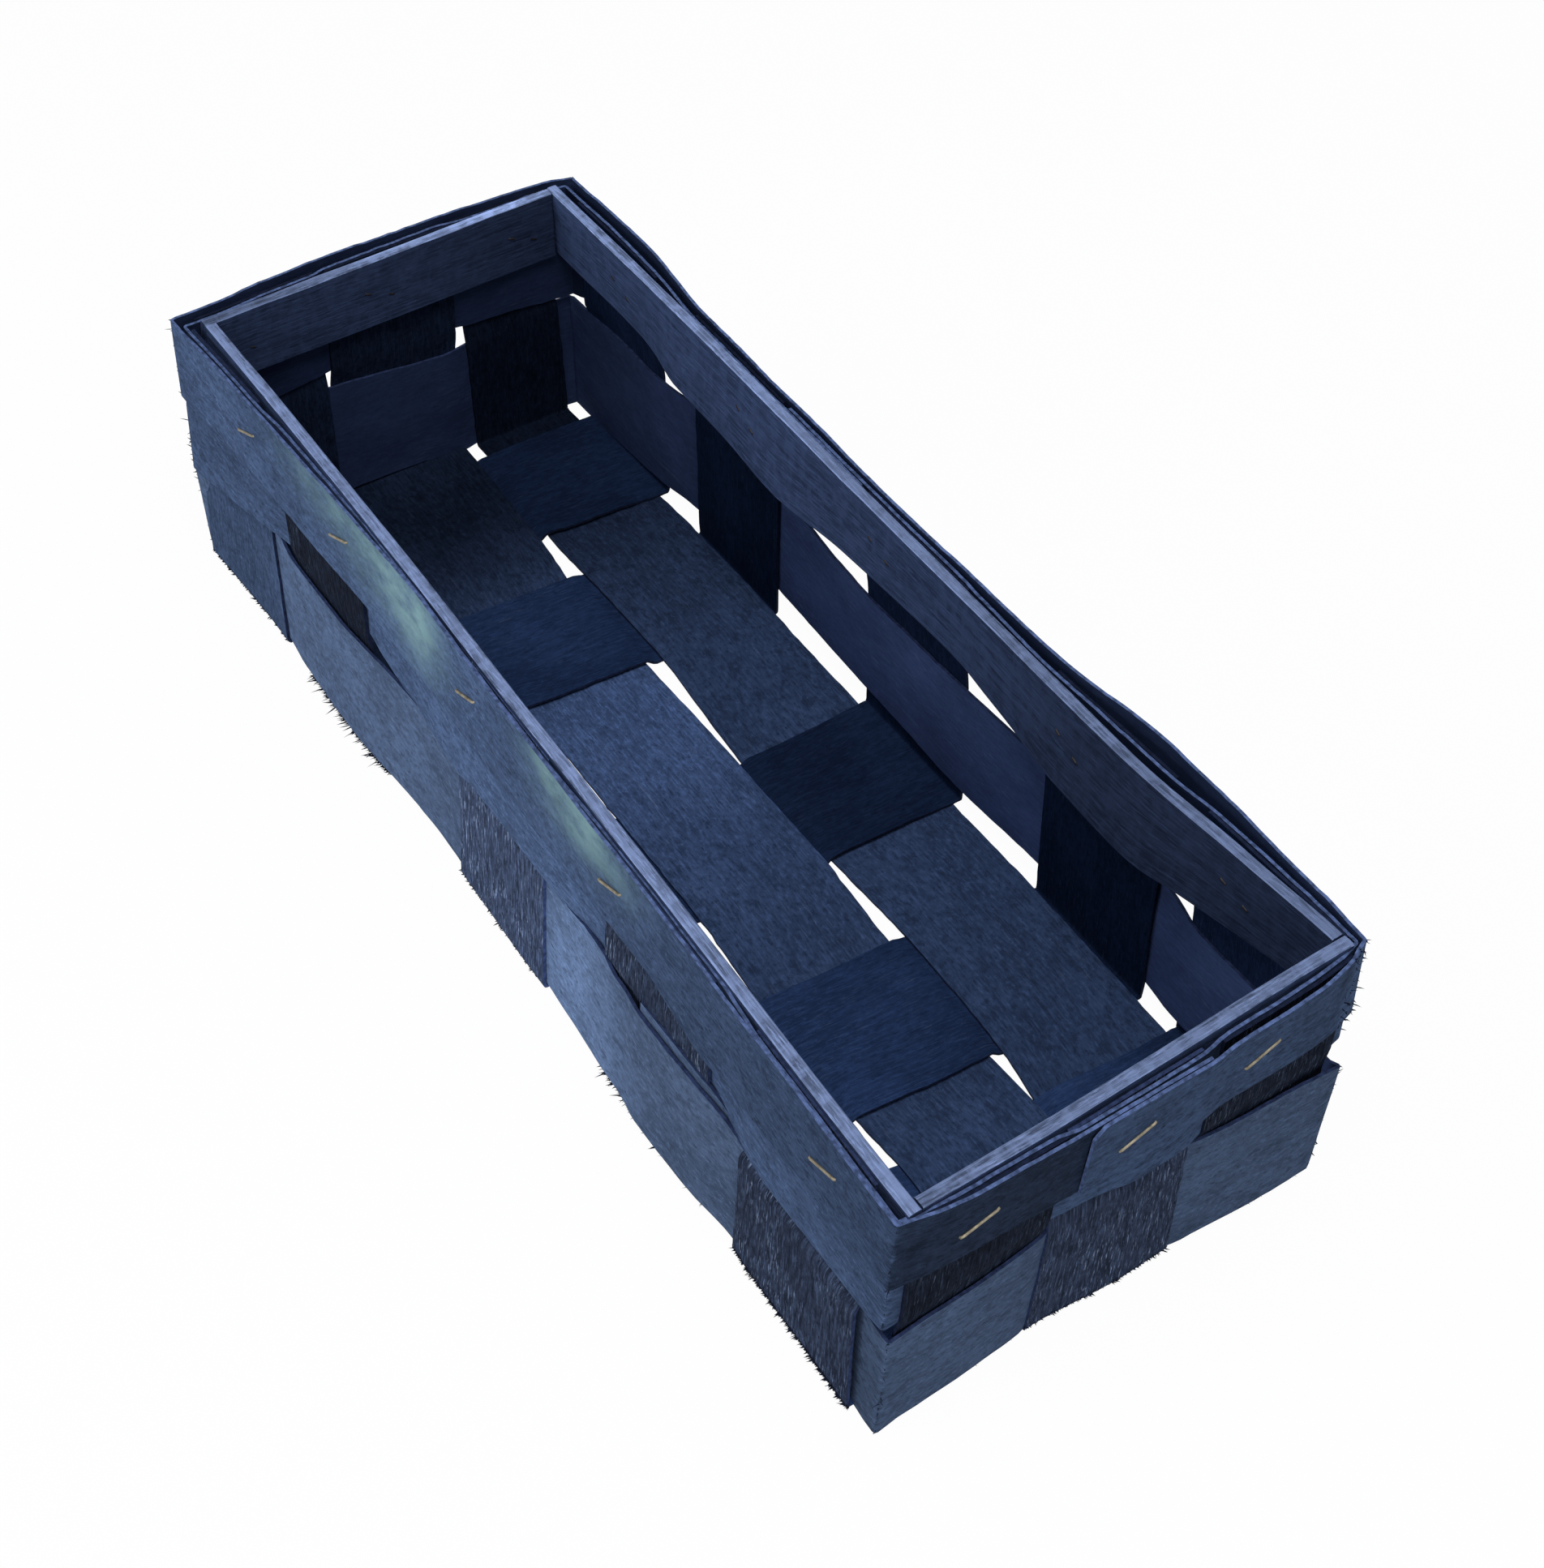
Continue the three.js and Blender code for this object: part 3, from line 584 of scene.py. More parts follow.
class Sheet:
    """Collects the faces of one piece: strips of even thickness and loose fibres."""

    OUTER, INNER, EDGE, LOOSE = range(4)
    FIBRE_POINTS = 7

    def __init__(self):
        self.points, self.faces, self.slots, self.places = [], [], [], []
        self.tones, self.stains = [], []

    def count(self):
        return sum(len(p) for p in self.points)

    def add_points(self, points, places, tones, stains):
        self.points.append(points.reshape(-1, 3))
        self.places.append(places.reshape(-1, 2))
        self.tones.append(tones.reshape(-1))
        self.stains.append(stains.reshape(-1))

    def add_faces(self, faces, slot):
        self.faces.append(faces)
        self.slots.append(np.full(len(faces), slot))

    def add_strip(self, middle, outward, thickness, along, across, tone, stain=None):
        """A strip about a middle surface of shape (row, column, 3); outward holds its unit normals."""
        rows, cols = middle.shape[:2]
        start = self.count()
        stain = np.zeros((rows, cols)) if stain is None else stain
        for side in (thickness / 2, -thickness / 2):
            self.add_points(middle + outward * side, np.stack([along, across], -1), tone, stain)
        number = np.arange(rows * cols).reshape(rows, cols)
        corners = (number[:-1, :-1], number[1:, :-1], number[1:, 1:], number[:-1, 1:])
        quads = np.stack(corners, -1).reshape(-1, 4)
        rim = np.concatenate([number[:, 0], number[-1, 1:], number[-2::-1, -1], number[0, -2:0:-1]])
        back = rows * cols
        step = np.roll(rim, -1)
        sides = np.stack([rim, rim + back, step + back, step], -1)
        facing = np.cross(middle[1, 0] - middle[0, 0], middle[0, 1] - middle[0, 0])
        if np.dot(facing, outward[0, 0]) < 0:
            quads, sides = quads[:, ::-1], sides[:, ::-1]
        self.add_faces(quads + start, self.OUTER)
        self.add_faces(quads[:, ::-1] + start + back, self.INNER)
        self.add_faces(sides + start, self.EDGE)

    def add_fibres(self, roots, ways, lengths, thickness, sag):
        """Thin three-sided spikes that taper and bend."""
        count = len(roots)
        if not count:
            return
        start = self.count()
        ways = ways / np.linalg.norm(ways, axis=1, keepdims=True)
        helper = np.where(np.abs(ways[:, 2:]) > 0.8, [[1.0, 0, 0]], [[0, 0, 1.0]])
        side = np.cross(ways, helper)
        side /= np.linalg.norm(side, axis=1, keepdims=True)
        up = np.cross(side, ways)
        rings = []
        for share, radius, bend in ((0.0, 0.5, 0.0), (0.55, 0.36, 0.35)):
            centre = roots + ways * (lengths * share)[:, None] + sag * (lengths * bend)[:, None]
            for angle in (0, 2 * np.pi / 3, 4 * np.pi / 3):
                spoke = side * math.cos(angle) + up * math.sin(angle)
                rings.append(centre + spoke * (thickness * radius)[:, None])
        tip = roots + (ways + sag) * lengths[:, None]
        total = count * self.FIBRE_POINTS
        self.add_points(np.stack(rings + [tip], 1), np.zeros((total, 2)), np.ones(total), np.zeros(total))
        base = start + self.FIBRE_POINTS * np.arange(count)[:, None]
        for k in range(3):
            n = (k + 1) % 3
            self.add_faces(base + np.array([k, n, n + 3, k + 3]), self.LOOSE)
            self.add_faces(base + np.array([k + 3, n + 3, 6]), self.LOOSE)
        self.add_faces(base + np.array([2, 1, 0]), self.LOOSE)

    def make(self, name, materials):
        faces = [tuple(face) for block in self.faces for face in block.tolist()]
        corners = np.concatenate([block.reshape(-1) for block in self.faces])
        grain = np.concatenate(self.places)[corners]
        values = {"tone": np.concatenate(self.tones), "stain": np.concatenate(self.stains)}
        points = np.concatenate(self.points)
        return linked_piece(name, points, faces, materials, np.concatenate(self.slots), grain, values, 40)


def normals(middle):
    """Unit normals of a surface given as points of shape (row, column, 3)."""
    found = np.cross(np.gradient(middle, axis=0), np.gradient(middle, axis=1))
    return found / np.maximum(np.linalg.norm(found, axis=-1, keepdims=True), 1e-12)


def run_lengths(line):
    """How far along a line each of its points lies."""
    return np.concatenate([[0], np.cumsum(np.linalg.norm(np.diff(line, axis=0), axis=1))])


def grain_run(middle):
    """How far along a strip's middle line each point of its surface lies."""
    count = middle.shape[1]
    return np.repeat(run_lengths(middle[:, count // 2])[:, None], count, 1)


def place_piece(piece, node_name):
    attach(piece, "root")
    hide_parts(node_name)


# Materials

BUMP_DEPTH = 0.0004


def node(tree, kind, sockets=None, **settings):
    made = tree.nodes.new(kind)
    for key, value in settings.items():
        setattr(made, key, value)
    for key, value in (sockets or {}).items():
        if isinstance(value, bpy.types.NodeSocket):
            tree.links.new(value, made.inputs[key])
        else:
            made.inputs[key].default_value = value
    return made


def blank_material(name):
    material = bpy.data.materials.new(name)
    material.use_nodes = True
    tree = material.node_tree
    tree.nodes.clear()
    shader = node(tree, "ShaderNodeBsdfPrincipled")
    node(tree, "ShaderNodeOutputMaterial", {"Surface": shader.outputs[0]})
    return tree, shader


def mixed(tree, share, a, b):
    return node(tree, "ShaderNodeMix", {0: share, 6: a, 7: b}, data_type="RGBA").outputs[2]


def ranged(tree, value, low, high, to_low=0.0, to_high=1.0):
    sockets = {"Value": value, "From Min": low, "From Max": high, "To Min": to_low, "To Max": to_high}
    return node(tree, "ShaderNodeMapRange", sockets).outputs[0]


def maths(tree, operation, a, b):
    return node(tree, "ShaderNodeMath", {0: a, 1: b}, operation=operation).outputs[0]


def times(tree, a, b):
    return maths(tree, "MULTIPLY", a, b)


def plus(tree, a, b):
    return maths(tree, "ADD", a, b)


def grain_noise(tree, along, across, detail, shift=0.0, roughness=0.55):
    """Noise that is stretched along the strip: along and across count features per metre."""
    place = node(tree, "ShaderNodeUVMap", uv_map="grain").outputs["UV"]
    sockets = {0: place, 1: (along, across, 1), 2: (shift, shift * 0.7, shift)}
    stretched = node(tree, "ShaderNodeVectorMath", sockets, operation="MULTIPLY_ADD").outputs[0]
    sockets = {"Vector": stretched, "Scale": 1.0, "Detail": detail, "Roughness": roughness}
    return node(tree, "ShaderNodeTexNoise", sockets).outputs["Fac"]


def dyed_and_shaded(tree, base):
    """A colour made darker or lighter per strip: partly by its uneven dye, partly by painted shade and
    painted light.
    """
    tone = node(tree, "ShaderNodeAttribute", attribute_name="tone").outputs["Fac"]
    return node(tree, "ShaderNodeVectorMath", {0: base, "Scale": tone}, operation="SCALE").outputs[0]


def bumped(tree, shader, strength, height):
    bump = node(tree, "ShaderNodeBump", {"Strength": strength, "Distance": BUMP_DEPTH, "Height": height})
    tree.links.new(bump.outputs[0], shader.inputs["Normal"])


def shade(dye, factor):
    return tuple(min(1.0, c * factor) for c in dye[:3]) + (1.0,)


def laid(tree, base, noise, low, high, strength, top):
    """Lays a colour over another where a noise goes from low to high, which may be the lower one."""
    return mixed(tree, times(tree, ranged(tree, noise, low, high), strength), base, top)


def veneer(name, dye, mottle, streaks, torn, scratches, pores, relief, stained=False):
    """Dyed veneer: cloudy dye, grain along the strip, dark pores, pale torn fibres and scratches."""
    tree, shader = blank_material(name)
    colours = bpy.context.scene.basket_colours
    cloud = grain_noise(tree, 35, 50, 5, 3.1, 0.6)
    base = mixed(tree, ranged(tree, cloud, 0.3, 0.7), shade(dye, 0.72), shade(dye, 1.28))
    blot = grain_noise(tree, 150, 210, 4, 7.9, 0.65)
    base = laid(tree, base, blot, 0.5, 0.36, mottle, shade(dye, 0.62))
    paper = grain_noise(tree, 560, 800, 4, 11.7, 0.7)
    base = laid(tree, base, paper, 0.48, 0.34, mottle, shade(dye, 0.5))
    base = laid(tree, base, paper, 0.54, 0.7, mottle, shade(dye, 1.65))
    broad = grain_noise(tree, 110, 1000, 5, 23.9, 0.65)
    base = laid(tree, base, broad, 0.46, 0.6, streaks, shade(dye, 0.45))
    fine = grain_noise(tree, 220, 2000, 4, 37.3, 0.65)
    base = laid(tree, base, fine, 0.52, 0.64, streaks, shade(dye, 1.9))
    fibre = grain_noise(tree, 240, 2400, 3, 41.3, 0.6)
    patch = ranged(tree, grain_noise(tree, 45, 60, 3, 57.7), 0.4, 0.62)
    base = laid(tree, base, fibre, 0.58, 0.7, times(tree, patch, torn), colours.torn_fibre)
    line = grain_noise(tree, 22, 640, 2, 63.1)
    broken = ranged(tree, grain_noise(tree, 90, 40, 3, 67.7), 0.45, 0.6)
    base = laid(tree, base, line, 0.7, 0.74, times(tree, broken, scratches), colours.torn_fibre)
    pore = grain_noise(tree, 480, 1700, 2, 71.9)
    base = laid(tree, base, pore, 0.64, 0.73, pores, shade(dye, 0.25))
    if stained:
        mark = node(tree, "ShaderNodeAttribute", attribute_name="stain").outputs["Fac"]
        wash = ranged(tree, grain_noise(tree, 90, 160, 5, 83.3, 0.65), 0.36, 0.6, 0.35, 1.0)
        base = mixed(tree, times(tree, mark, wash), base, colours.stain)
    tree.links.new(dyed_and_shaded(tree, base), shader.inputs["Base Color"])
    tree.links.new(ranged(tree, fine, 0.3, 0.7, 0.6, 0.8), shader.inputs["Roughness"])
    shader.inputs["Specular IOR Level"].default_value = 0.005
    rough = plus(tree, times(tree, fibre, 0.6), times(tree, paper, 0.6))
    bumped(tree, shader, relief, plus(tree, fine, rough))


def speckle(tree, detail):
    """Fine noise without a direction."""
    place = node(tree, "ShaderNodeTexCoord").outputs["Object"]
    sockets = {"Vector": place, "Scale": 700.0, "Detail": detail}
    return node(tree, "ShaderNodeTexNoise", sockets).outputs["Fac"]


def plain_fibre(name, dye, dark, light, uneven=False):
    """Cut edges and loose fibres; uneven ones follow their strip's darkening and lightening, which is partly
    dye and partly painted shade and painted light.
    """
    tree, shader = blank_material(name)
    cloud = ranged(tree, speckle(tree, 3.0), 0.35, 0.65)
    base = mixed(tree, cloud, shade(dye, dark), shade(dye, light))
    tree.links.new(dyed_and_shaded(tree, base) if uneven else base, shader.inputs["Base Color"])
    shader.inputs["Roughness"].default_value = 0.85
    shader.inputs["Specular IOR Level"].default_value = 0.05


def sawn_slat(name, dye, dark, light, contrast):
    """Dyed sawn lath: long growth lines, saw marks and a paler raised grain."""
    tree, shader = blank_material(name)
    cloud = grain_noise(tree, 24, 90, 3, 2.7)
    base = mixed(tree, ranged(tree, cloud, 0.35, 0.65), shade(dye, 0.85), shade(dye, 1.15))
    rings = grain_noise(tree, 14, 900, 4, 5.3, 0.65)
    base = laid(tree, base, rings, 0.56, 0.4, contrast, shade(dye, dark))
    fine = grain_noise(tree, 170, 1700, 4, 17.1, 0.7)
    base = laid(tree, base, fine, 0.5, 0.68, contrast, shade(dye, light))
    curl = grain_noise(tree, 330, 160, 3, 43.7)
    base = laid(tree, base, curl, 0.45, 0.6, 0.5 * contrast, shade(dye, 1.5))
    flecks = grain_noise(tree, 200, 1700, 2, 29.9)
    base = laid(tree, base, flecks, 0.64, 0.74, 0.7, shade(dye, 0.35))
    tree.links.new(dyed_and_shaded(tree, base), shader.inputs["Base Color"])
    shader.inputs["Roughness"].default_value = 0.68
    shader.inputs["Specular IOR Level"].default_value = 0.05
    bumped(tree, shader, 0.5, plus(tree, fine, times(tree, rings, 0.7)))


def brass_wire(name, metal):
    tree, shader = blank_material(name)
    cloud = speckle(tree, 4.0)
    base = mixed(tree, ranged(tree, cloud, 0.35, 0.7), shade(metal, 1.05), shade(metal, 0.5))
    tree.links.new(base, shader.inputs["Base Color"])
    shader.inputs["Metallic"].default_value = 0.75
    tree.links.new(ranged(tree, cloud, 0.3, 0.7, 0.5, 0.7), shader.inputs["Roughness"])
    bumped(tree, shader, 0.15, cloud)


# How each finish is made, its colour, and its settings in the maker's order
FINISHES = {
    "weaver_face": (veneer, "weaver_face", 0.75, 0.18, 0.3, 0.0, 0.8, 0.3),
    "hoop_face": (veneer, "hoop_face", 0.85, 0.3, 0.3, 0.0, 0.9, 0.3, True),
    "weaver_back": (veneer, "weaver_back", 0.2, 0.15, 0.1, 0.1, 0.25, 0.2),
    "upright_face": (veneer, "upright_face", 0.8, 1.0, 1.0, 0.3, 1.0, 1.0),
    "long_back": (veneer, "long_back", 0.9, 0.4, 0.12, 0.15, 0.6, 0.4),
    "cross_back": (veneer, "cross_back", 0.5, 0.35, 0.15, 0.15, 0.5, 0.4),
    # The uprights' edges carry their strip's painted shade on the floor and its painted light on the walls,
    # as well as its dye
    "upright_edge": (plain_fibre, "strip_edge", 0.7, 1.4, True),
    "strip_edge": (plain_fibre, "strip_edge", 0.7, 1.4),
    "hoop_edge": (plain_fibre, "hoop_edge", 0.6, 1.6),
    "loose_fibre": (plain_fibre, "loose_fibre", 0.6, 1.7),
    "slat_side": (sawn_slat, "slat", 0.5, 1.9, 0.8),
    "slat_top": (sawn_slat, "slat_top", 0.35, 1.8, 0.9),
    "staple_brass": (brass_wire, "brass"),
    "staple_end": (brass_wire, "staple_end"),
}


def finish(name):
    """A named material, made when it is first asked for."""
    if name not in bpy.data.materials:
        maker, dye, *settings = FINISHES[name]
        maker(name, getattr(bpy.context.scene.basket_colours, dye), *settings)
    return bpy.data.materials[name]


# Finishes of a strip's outer side, inner side, edges and loose fibres
LONG_FINISHES = ("upright_face", "long_back", "upright_edge", "loose_fibre")
CROSS_FINISHES = ("upright_face", "cross_back", "upright_edge", "loose_fibre")
SMOOTH_CROSS_FINISHES = ("hoop_face", "cross_back", "upright_edge", "loose_fibre")
LOWER_FINISHES = ("weaver_face", "weaver_back", "strip_edge", "loose_fibre")
HOOP_FINISHES = ("hoop_face", "weaver_back", "hoop_edge", "loose_fibre")


# Strips that run over the floor and up two walls


def upright_knots(form, axis, walls, along, crossings, extra=0):
    """Knots (across the basket, up) of an upright's path, one column for each place in along."""
    count = len(along)

    def wall_knots(wall, sign, over, out):
        foot = sign * form.layer(axis, 1 - out if over else 2)
        head = sign * form.layer(axis, 2 if over else 1)
        turn = form.edge("lower_top", wall, along)
        top = np.maximum(form.edge("upper_bottom", wall, along), turn + 2.5)
        heights = (np.full(count, form.floor_level(over)), turn, top, np.full(count, form.strip_top))
        return [np.stack([np.full(count, x), z], -1) for x, z in zip((foot, foot, head, head), heights)]

    low = wall_knots(walls[0], -1, crossings[0][1], extra)[::-1]
    high = wall_knots(walls[1], 1, crossings[-1][1], 0)
    ends = [(edge, form.floor_level(over)) for span, over in crossings for edge in span]
    return np.array(low + [np.full((count, 2), end) for end in ends] + high)


# Loose fibres: how many make a tuft, how high a bend reaches, and the thinnest and thickest
TUFT_FIBRES = 3
BEND_REACH = 3.0
BEND_FIBRE, CREASE_FIBRE = (0.25, 0.55), (0.2, 0.45)
CREASE_LONGEST = 2.0


def bend_fibres(rng, sheet, surface, outward, places, width, fray):
    """Tufts of broken fibres where a strip bends from floor to wall, at its low and its high wall."""
    heights = surface[:, surface.shape[1] // 2, 2]
    rows = np.arange(len(surface))
    for near, (per_mm, longest) in zip((rows < len(rows) // 2, rows >= len(rows) // 2), fray):
        bend = rows[near & (heights < BEND_REACH) & (np.abs(outward[:, surface.shape[1] // 2, 2]) < 0.97)]
        tufts = int(per_mm * width / TUFT_FIBRES)
        tuft_at = np.repeat(rng.uniform(0, 1, tufts), TUFT_FIBRES)
        tuft_size = np.repeat(rng.gamma(1.6, 0.45, tufts), TUFT_FIBRES)
        tuft_way = np.repeat(rng.normal(0, 0.3, (tufts, 3)), TUFT_FIBRES, 0)
        count = len(tuft_at)
        at = np.clip(tuft_at + rng.normal(0, 0.35 / width, count), 0, 1)
        c = np.clip(np.searchsorted(places, at) - 1, 0, len(places) - 2)
        f = ((at - places[c]) / (places[c + 1] - places[c]))[:, None]
        r = rng.choice(bend, count)
        roots = surface[r, c] * (1 - f) + surface[r, c + 1] * f
        flat = outward[r, c] * [1, 1, 0]
        flat /= np.maximum(np.linalg.norm(flat, axis=1, keepdims=True), 1e-9)
        ways = flat + tuft_way + rng.normal(0, 0.22, (count, 3))
        ways[:, 2] = np.abs(ways[:, 2]) * 0.5
        lengths = np.minimum(0.25 + tuft_size * rng.uniform(0.3, 1.0, count) * longest * 0.45, longest)
        sag = rng.normal(0, 0.14, (count, 3))
        sag[:, 2] = np.abs(sag[:, 2])
        roots[:, 2] = np.maximum(roots[:, 2], 0.25)
        sheet.add_fibres(roots - flat * 0.3, ways, lengths, rng.uniform(*BEND_FIBRE, count), sag)


def upright_strip(form, node_name, n, axis, walls, knots, floor_edges, places, tones, fray, finishes, rng):
    """One strip over the floor and up both walls; floor_edges gives its edges beside its path."""
    path = along_knots(knots, form.bend * BEND_SOFTNESS)
    path = path[thinned(path)]
    rows = len(path)
    reach, up = path[..., 0], path[..., 1]
    near = np.abs(reach) / form.half[axis]
    at_wall = eased((near - 0.65) / 0.3) if axis == "x" else np.clip((near - 0.3) / 0.65, 0, 1)
    edges = []
    for k, edge in enumerate(floor_edges(reach)):
        strays = [form.stray(wall, n, k, up) for wall in walls]
        edges.append(edge + at_wall * np.where(reach < 0, *strays))
    side = edges[0] + (edges[1] - edges[0]) * places
    width = float(np.mean(side[:, -1] - side[:, 0]))
    for column, sign in ((0, -1), (-1, 1)):
        side[:, column] += sign * ragged(rng, rows, STRIP_RAGGED)
    if axis == "y":
        over = eased((up / form.pitch - 0.6) / 0.6) * eased((0.9 - near) / 0.2)
        up = up + form.edge_curl * over * eased((places - 0.86) / 0.14)
    flat = np.stack([reach, side, up] if axis == "x" else [side, reach, up], -1)
    middle = form.settle(flat, "weave")
    outward = normals(middle)
    if outward[rows // 2, outward.shape[1] // 2, 2] > 0:
        outward = -outward
    along = grain_run(middle)
    spread = np.repeat((places * width)[None, :], rows, 0)
    middle = middle + outward * waves(rng, along, spread, *STRIP_WAVES)[..., None]
    shift = rng.uniform(0, GRAIN_REACH, 2)
    sheet = Sheet()
    tone = smooth_line(tones, reach)
    sheet.add_strip(middle, outward, form.strip_thickness, along + shift[0], spread + shift[1], tone)
    bend_fibres(rng, sheet, middle + outward * form.strip_thickness / 2, outward, places, width, fray)
    place_piece(sheet.make(node_name, finishes), node_name)


# Broken fibres at the bends, per millimetre of width, and the longest of them: low wall, then high wall
CROSS_FRAY = (
    ((14.0, 1.6), (3.0, 1.8)),
    ((24.0, 4.0), (3.0, 2.4)),
    ((10.0, 1.4), (3.0, 1.8)),
    ((30.0, 3.5), (3.0, 2.4)),
    ((44.0, 1.8), (3.0, 2.0)),
)
LONG_FRAY = ((3.0, 2.2), (14.0, 1.6))


def long_strip(form, i):
    rng = np.random.default_rng([form.seed, 10 + i])
    low, high = form.long_spans[i]
    places = columns(high - low)
    crossings = [(span, long_over(i, j)) for j, span in enumerate(form.cross_spans)]
    walls = ("left", "right")
    knots = upright_knots(form, "x", walls, low + (high - low) * places, crossings)

    def floor_edges(x):
        return [edge + smooth_line(LONG_STRAY.get((i, k), 0.0), x) for k, edge in enumerate((low, high))]

    upright_strip(
        form, LONG_NAMES[i], i, "x", walls, knots, floor_edges, places,
        LONG_DYE_AND_SHADING[i], LONG_FRAY, LONG_FINISHES, rng,
    )


def cross_strip(form, j):
    rng = np.random.default_rng([form.seed, 20 + j])
    low, high = form.cross_spans[j]
    places = columns(high - low)
    crossings = [(span, not long_over(i, j)) for i, span in enumerate(form.long_spans)]
    walls = ("front", "back")
    extra = 1 if j == len(CROSS_NAMES) - 1 else 0
    knots = upright_knots(form, "y", walls, low + (high - low) * places, crossings, extra)

    def floor_edges(y):
        aslant = form.slant * y / form.half["y"]
        edges = enumerate((low, high))
        return [edge + aslant + smooth_line(CROSS_STRAY.get((j, k), 0.0), y) for k, edge in edges]

    upright_strip(
        form, CROSS_NAMES[j], j, "y", walls, knots, floor_edges, places,
        CROSS_DYE_AND_SHADING[j], CROSS_FRAY[j], SMOOTH_CROSS_FINISHES if j == 0 else CROSS_FINISHES, rng,
    )


# Bands that run round the walls


def weaver_stations(form, outer, level):
    """Plan points of a weaver along each wall at a height, going round from the front wall's left end."""

    def stations(wall, outside, count):
        axis = "y" if wall in ("front", "back") else "x"
        sign = 1 if wall in ("right", "back") else -1
        points = []
        for n in range(count):
            out = sign * form.layer(axis, 1 if outside(n) == outer else 2)
            for k in (0, 1):
                along = form.strip_edge(wall, n, k, level)
                points.append((along, out) if axis == "y" else (out, along))
        return points if wall in ("front", "right") else points[::-1]

    crosses, longs = len(CROSS_NAMES), len(LONG_NAMES)
    return (
        stations("front", cross_outside, crosses),
        stations("right", long_outside, longs),
        stations("back", cross_outside, crosses),
        stations("left", long_outside, longs),
    )


def corner(side, end):
    return (end[0], side[1])


def runs_round(*walls):
    """Runs of plan points along neighbouring walls, joined where two walls meet."""
    runs = [list(wall) for wall in walls]
    for a, b in zip(runs[:-1], runs[1:]):
        side, end = (a[-1], b[0]) if abs(a[-1][1] - a[0][1]) < abs(a[-1][0] - a[0][0]) else (b[0], a[-1])
        a.append(corner(side, end))
        b.insert(0, corner(side, end))
    return runs


def band(form, node_name, finishes, runs, edges, group, rng, tones, flare, share, stains=(), dark_end=None):
    """A strip round the walls along runs of plan points; edges gives its bottom and top height.

    The last dark_end[0] millimetres of its length take dark_end[1] of the usual tone."""
    parts = [along_knots(np.array(run, float)[:, None, :], WEAVE_SOFTNESS) for run in runs]
    joined = np.concatenate([parts[0], *(part[1:] for part in parts[1:])])
    path = softened(joined, CREASE_SOFTNESS / FINE_STEP)
    path = path[thinned(path)][:, 0]
    rows = len(path)
    run = run_lengths(path)
    bottom, top = edges(path, run)
    places = columns(float(np.mean(top - bottom)))
    heights = bottom[:, None] + (top - bottom)[:, None] * places
    for column, sign in ((0, -1), (-1, 1)):
        heights[:, column] += sign * ragged(rng, rows, BAND_RAGGED)
    flat = np.concatenate([np.repeat(path[:, None, :], len(places), 1), heights[..., None]], -1)
    middle = form.settle(flat, group, flare, np.repeat(share(places)[None, :], rows, 0))
    outward = normals(middle)
    outward *= np.sign((outward[..., :2] * middle[..., :2]).sum(-1).mean())
    along = grain_run(middle)
    middle = middle + outward * waves(rng, along, heights, *BAND_WAVES)[..., None]
    stain = np.zeros(middle.shape[:2])
    for at, size, strength in stains:
        stain += strength * np.exp(-(((middle - np.array(at)) / np.array(size)) ** 2).sum(-1))
    creased = np.abs(outward[:, :, 0] * outward[:, :, 1]) > CREASED
    wear = np.where(creased, rng.uniform(-0.4, 0.7, creased.shape), 0)
    tone = form.round_value(tones, path)[:, None] * (1 + wear)
    if dark_end:
        tone *= 1 - (1 - dark_end[1]) * eased((run - run[-1] + dark_end[0]) / 2 + 0.5)[:, None]
    shift = rng.uniform(0, GRAIN_REACH, 2)
    sheet = Sheet()
    stain = np.clip(stain, 0, 1)
    sheet.add_strip(middle, outward, form.strip_thickness, along + shift[0], heights + shift[1], tone, stain)
    crease_fibres(rng, sheet, middle + outward * form.strip_thickness / 2, outward)
    place_piece(sheet.make(node_name, finishes), node_name)


def crease_fibres(rng, sheet, surface, outward):
    """Short fibres along the creases where a band turns a corner."""
    crease = np.nonzero(np.abs(outward[:, 0, 0] * outward[:, 0, 1]) > CREASED)[0]
    count = 2 * len(crease) * surface.shape[1]
    r, c = rng.choice(crease, count), rng.integers(0, surface.shape[1] - 1, count)
    f = rng.uniform(0, 1, count)[:, None]
    roots = surface[r, c] * (1 - f) + surface[r, c + 1] * f
    ways = outward[r, c] + rng.normal(0, 0.5, (count, 3))
    lengths = np.minimum(rng.gamma(1.5, 0.4, count) + 0.15, CREASE_LONGEST)
    thickness = rng.uniform(*CREASE_FIBRE, count)
    sheet.add_fibres(roots - outward[r, c] * 0.2, ways, lengths, thickness, rng.normal(0, 0.2, (count, 3)))


LOWER_LEVEL, UPPER_LEVEL = 22, 60
LOWER_LAP_START = 5.0
LOWER_LAP_TUCK = 10.0
LOWER_LAP_LIFT = 2.6
LOWER_LAP_SHOWN = 24.0
LOWER_LAP_EASE = 18.0
UPPER_LAP_MARGIN = 3.0
LAP_RAMP = 6.0


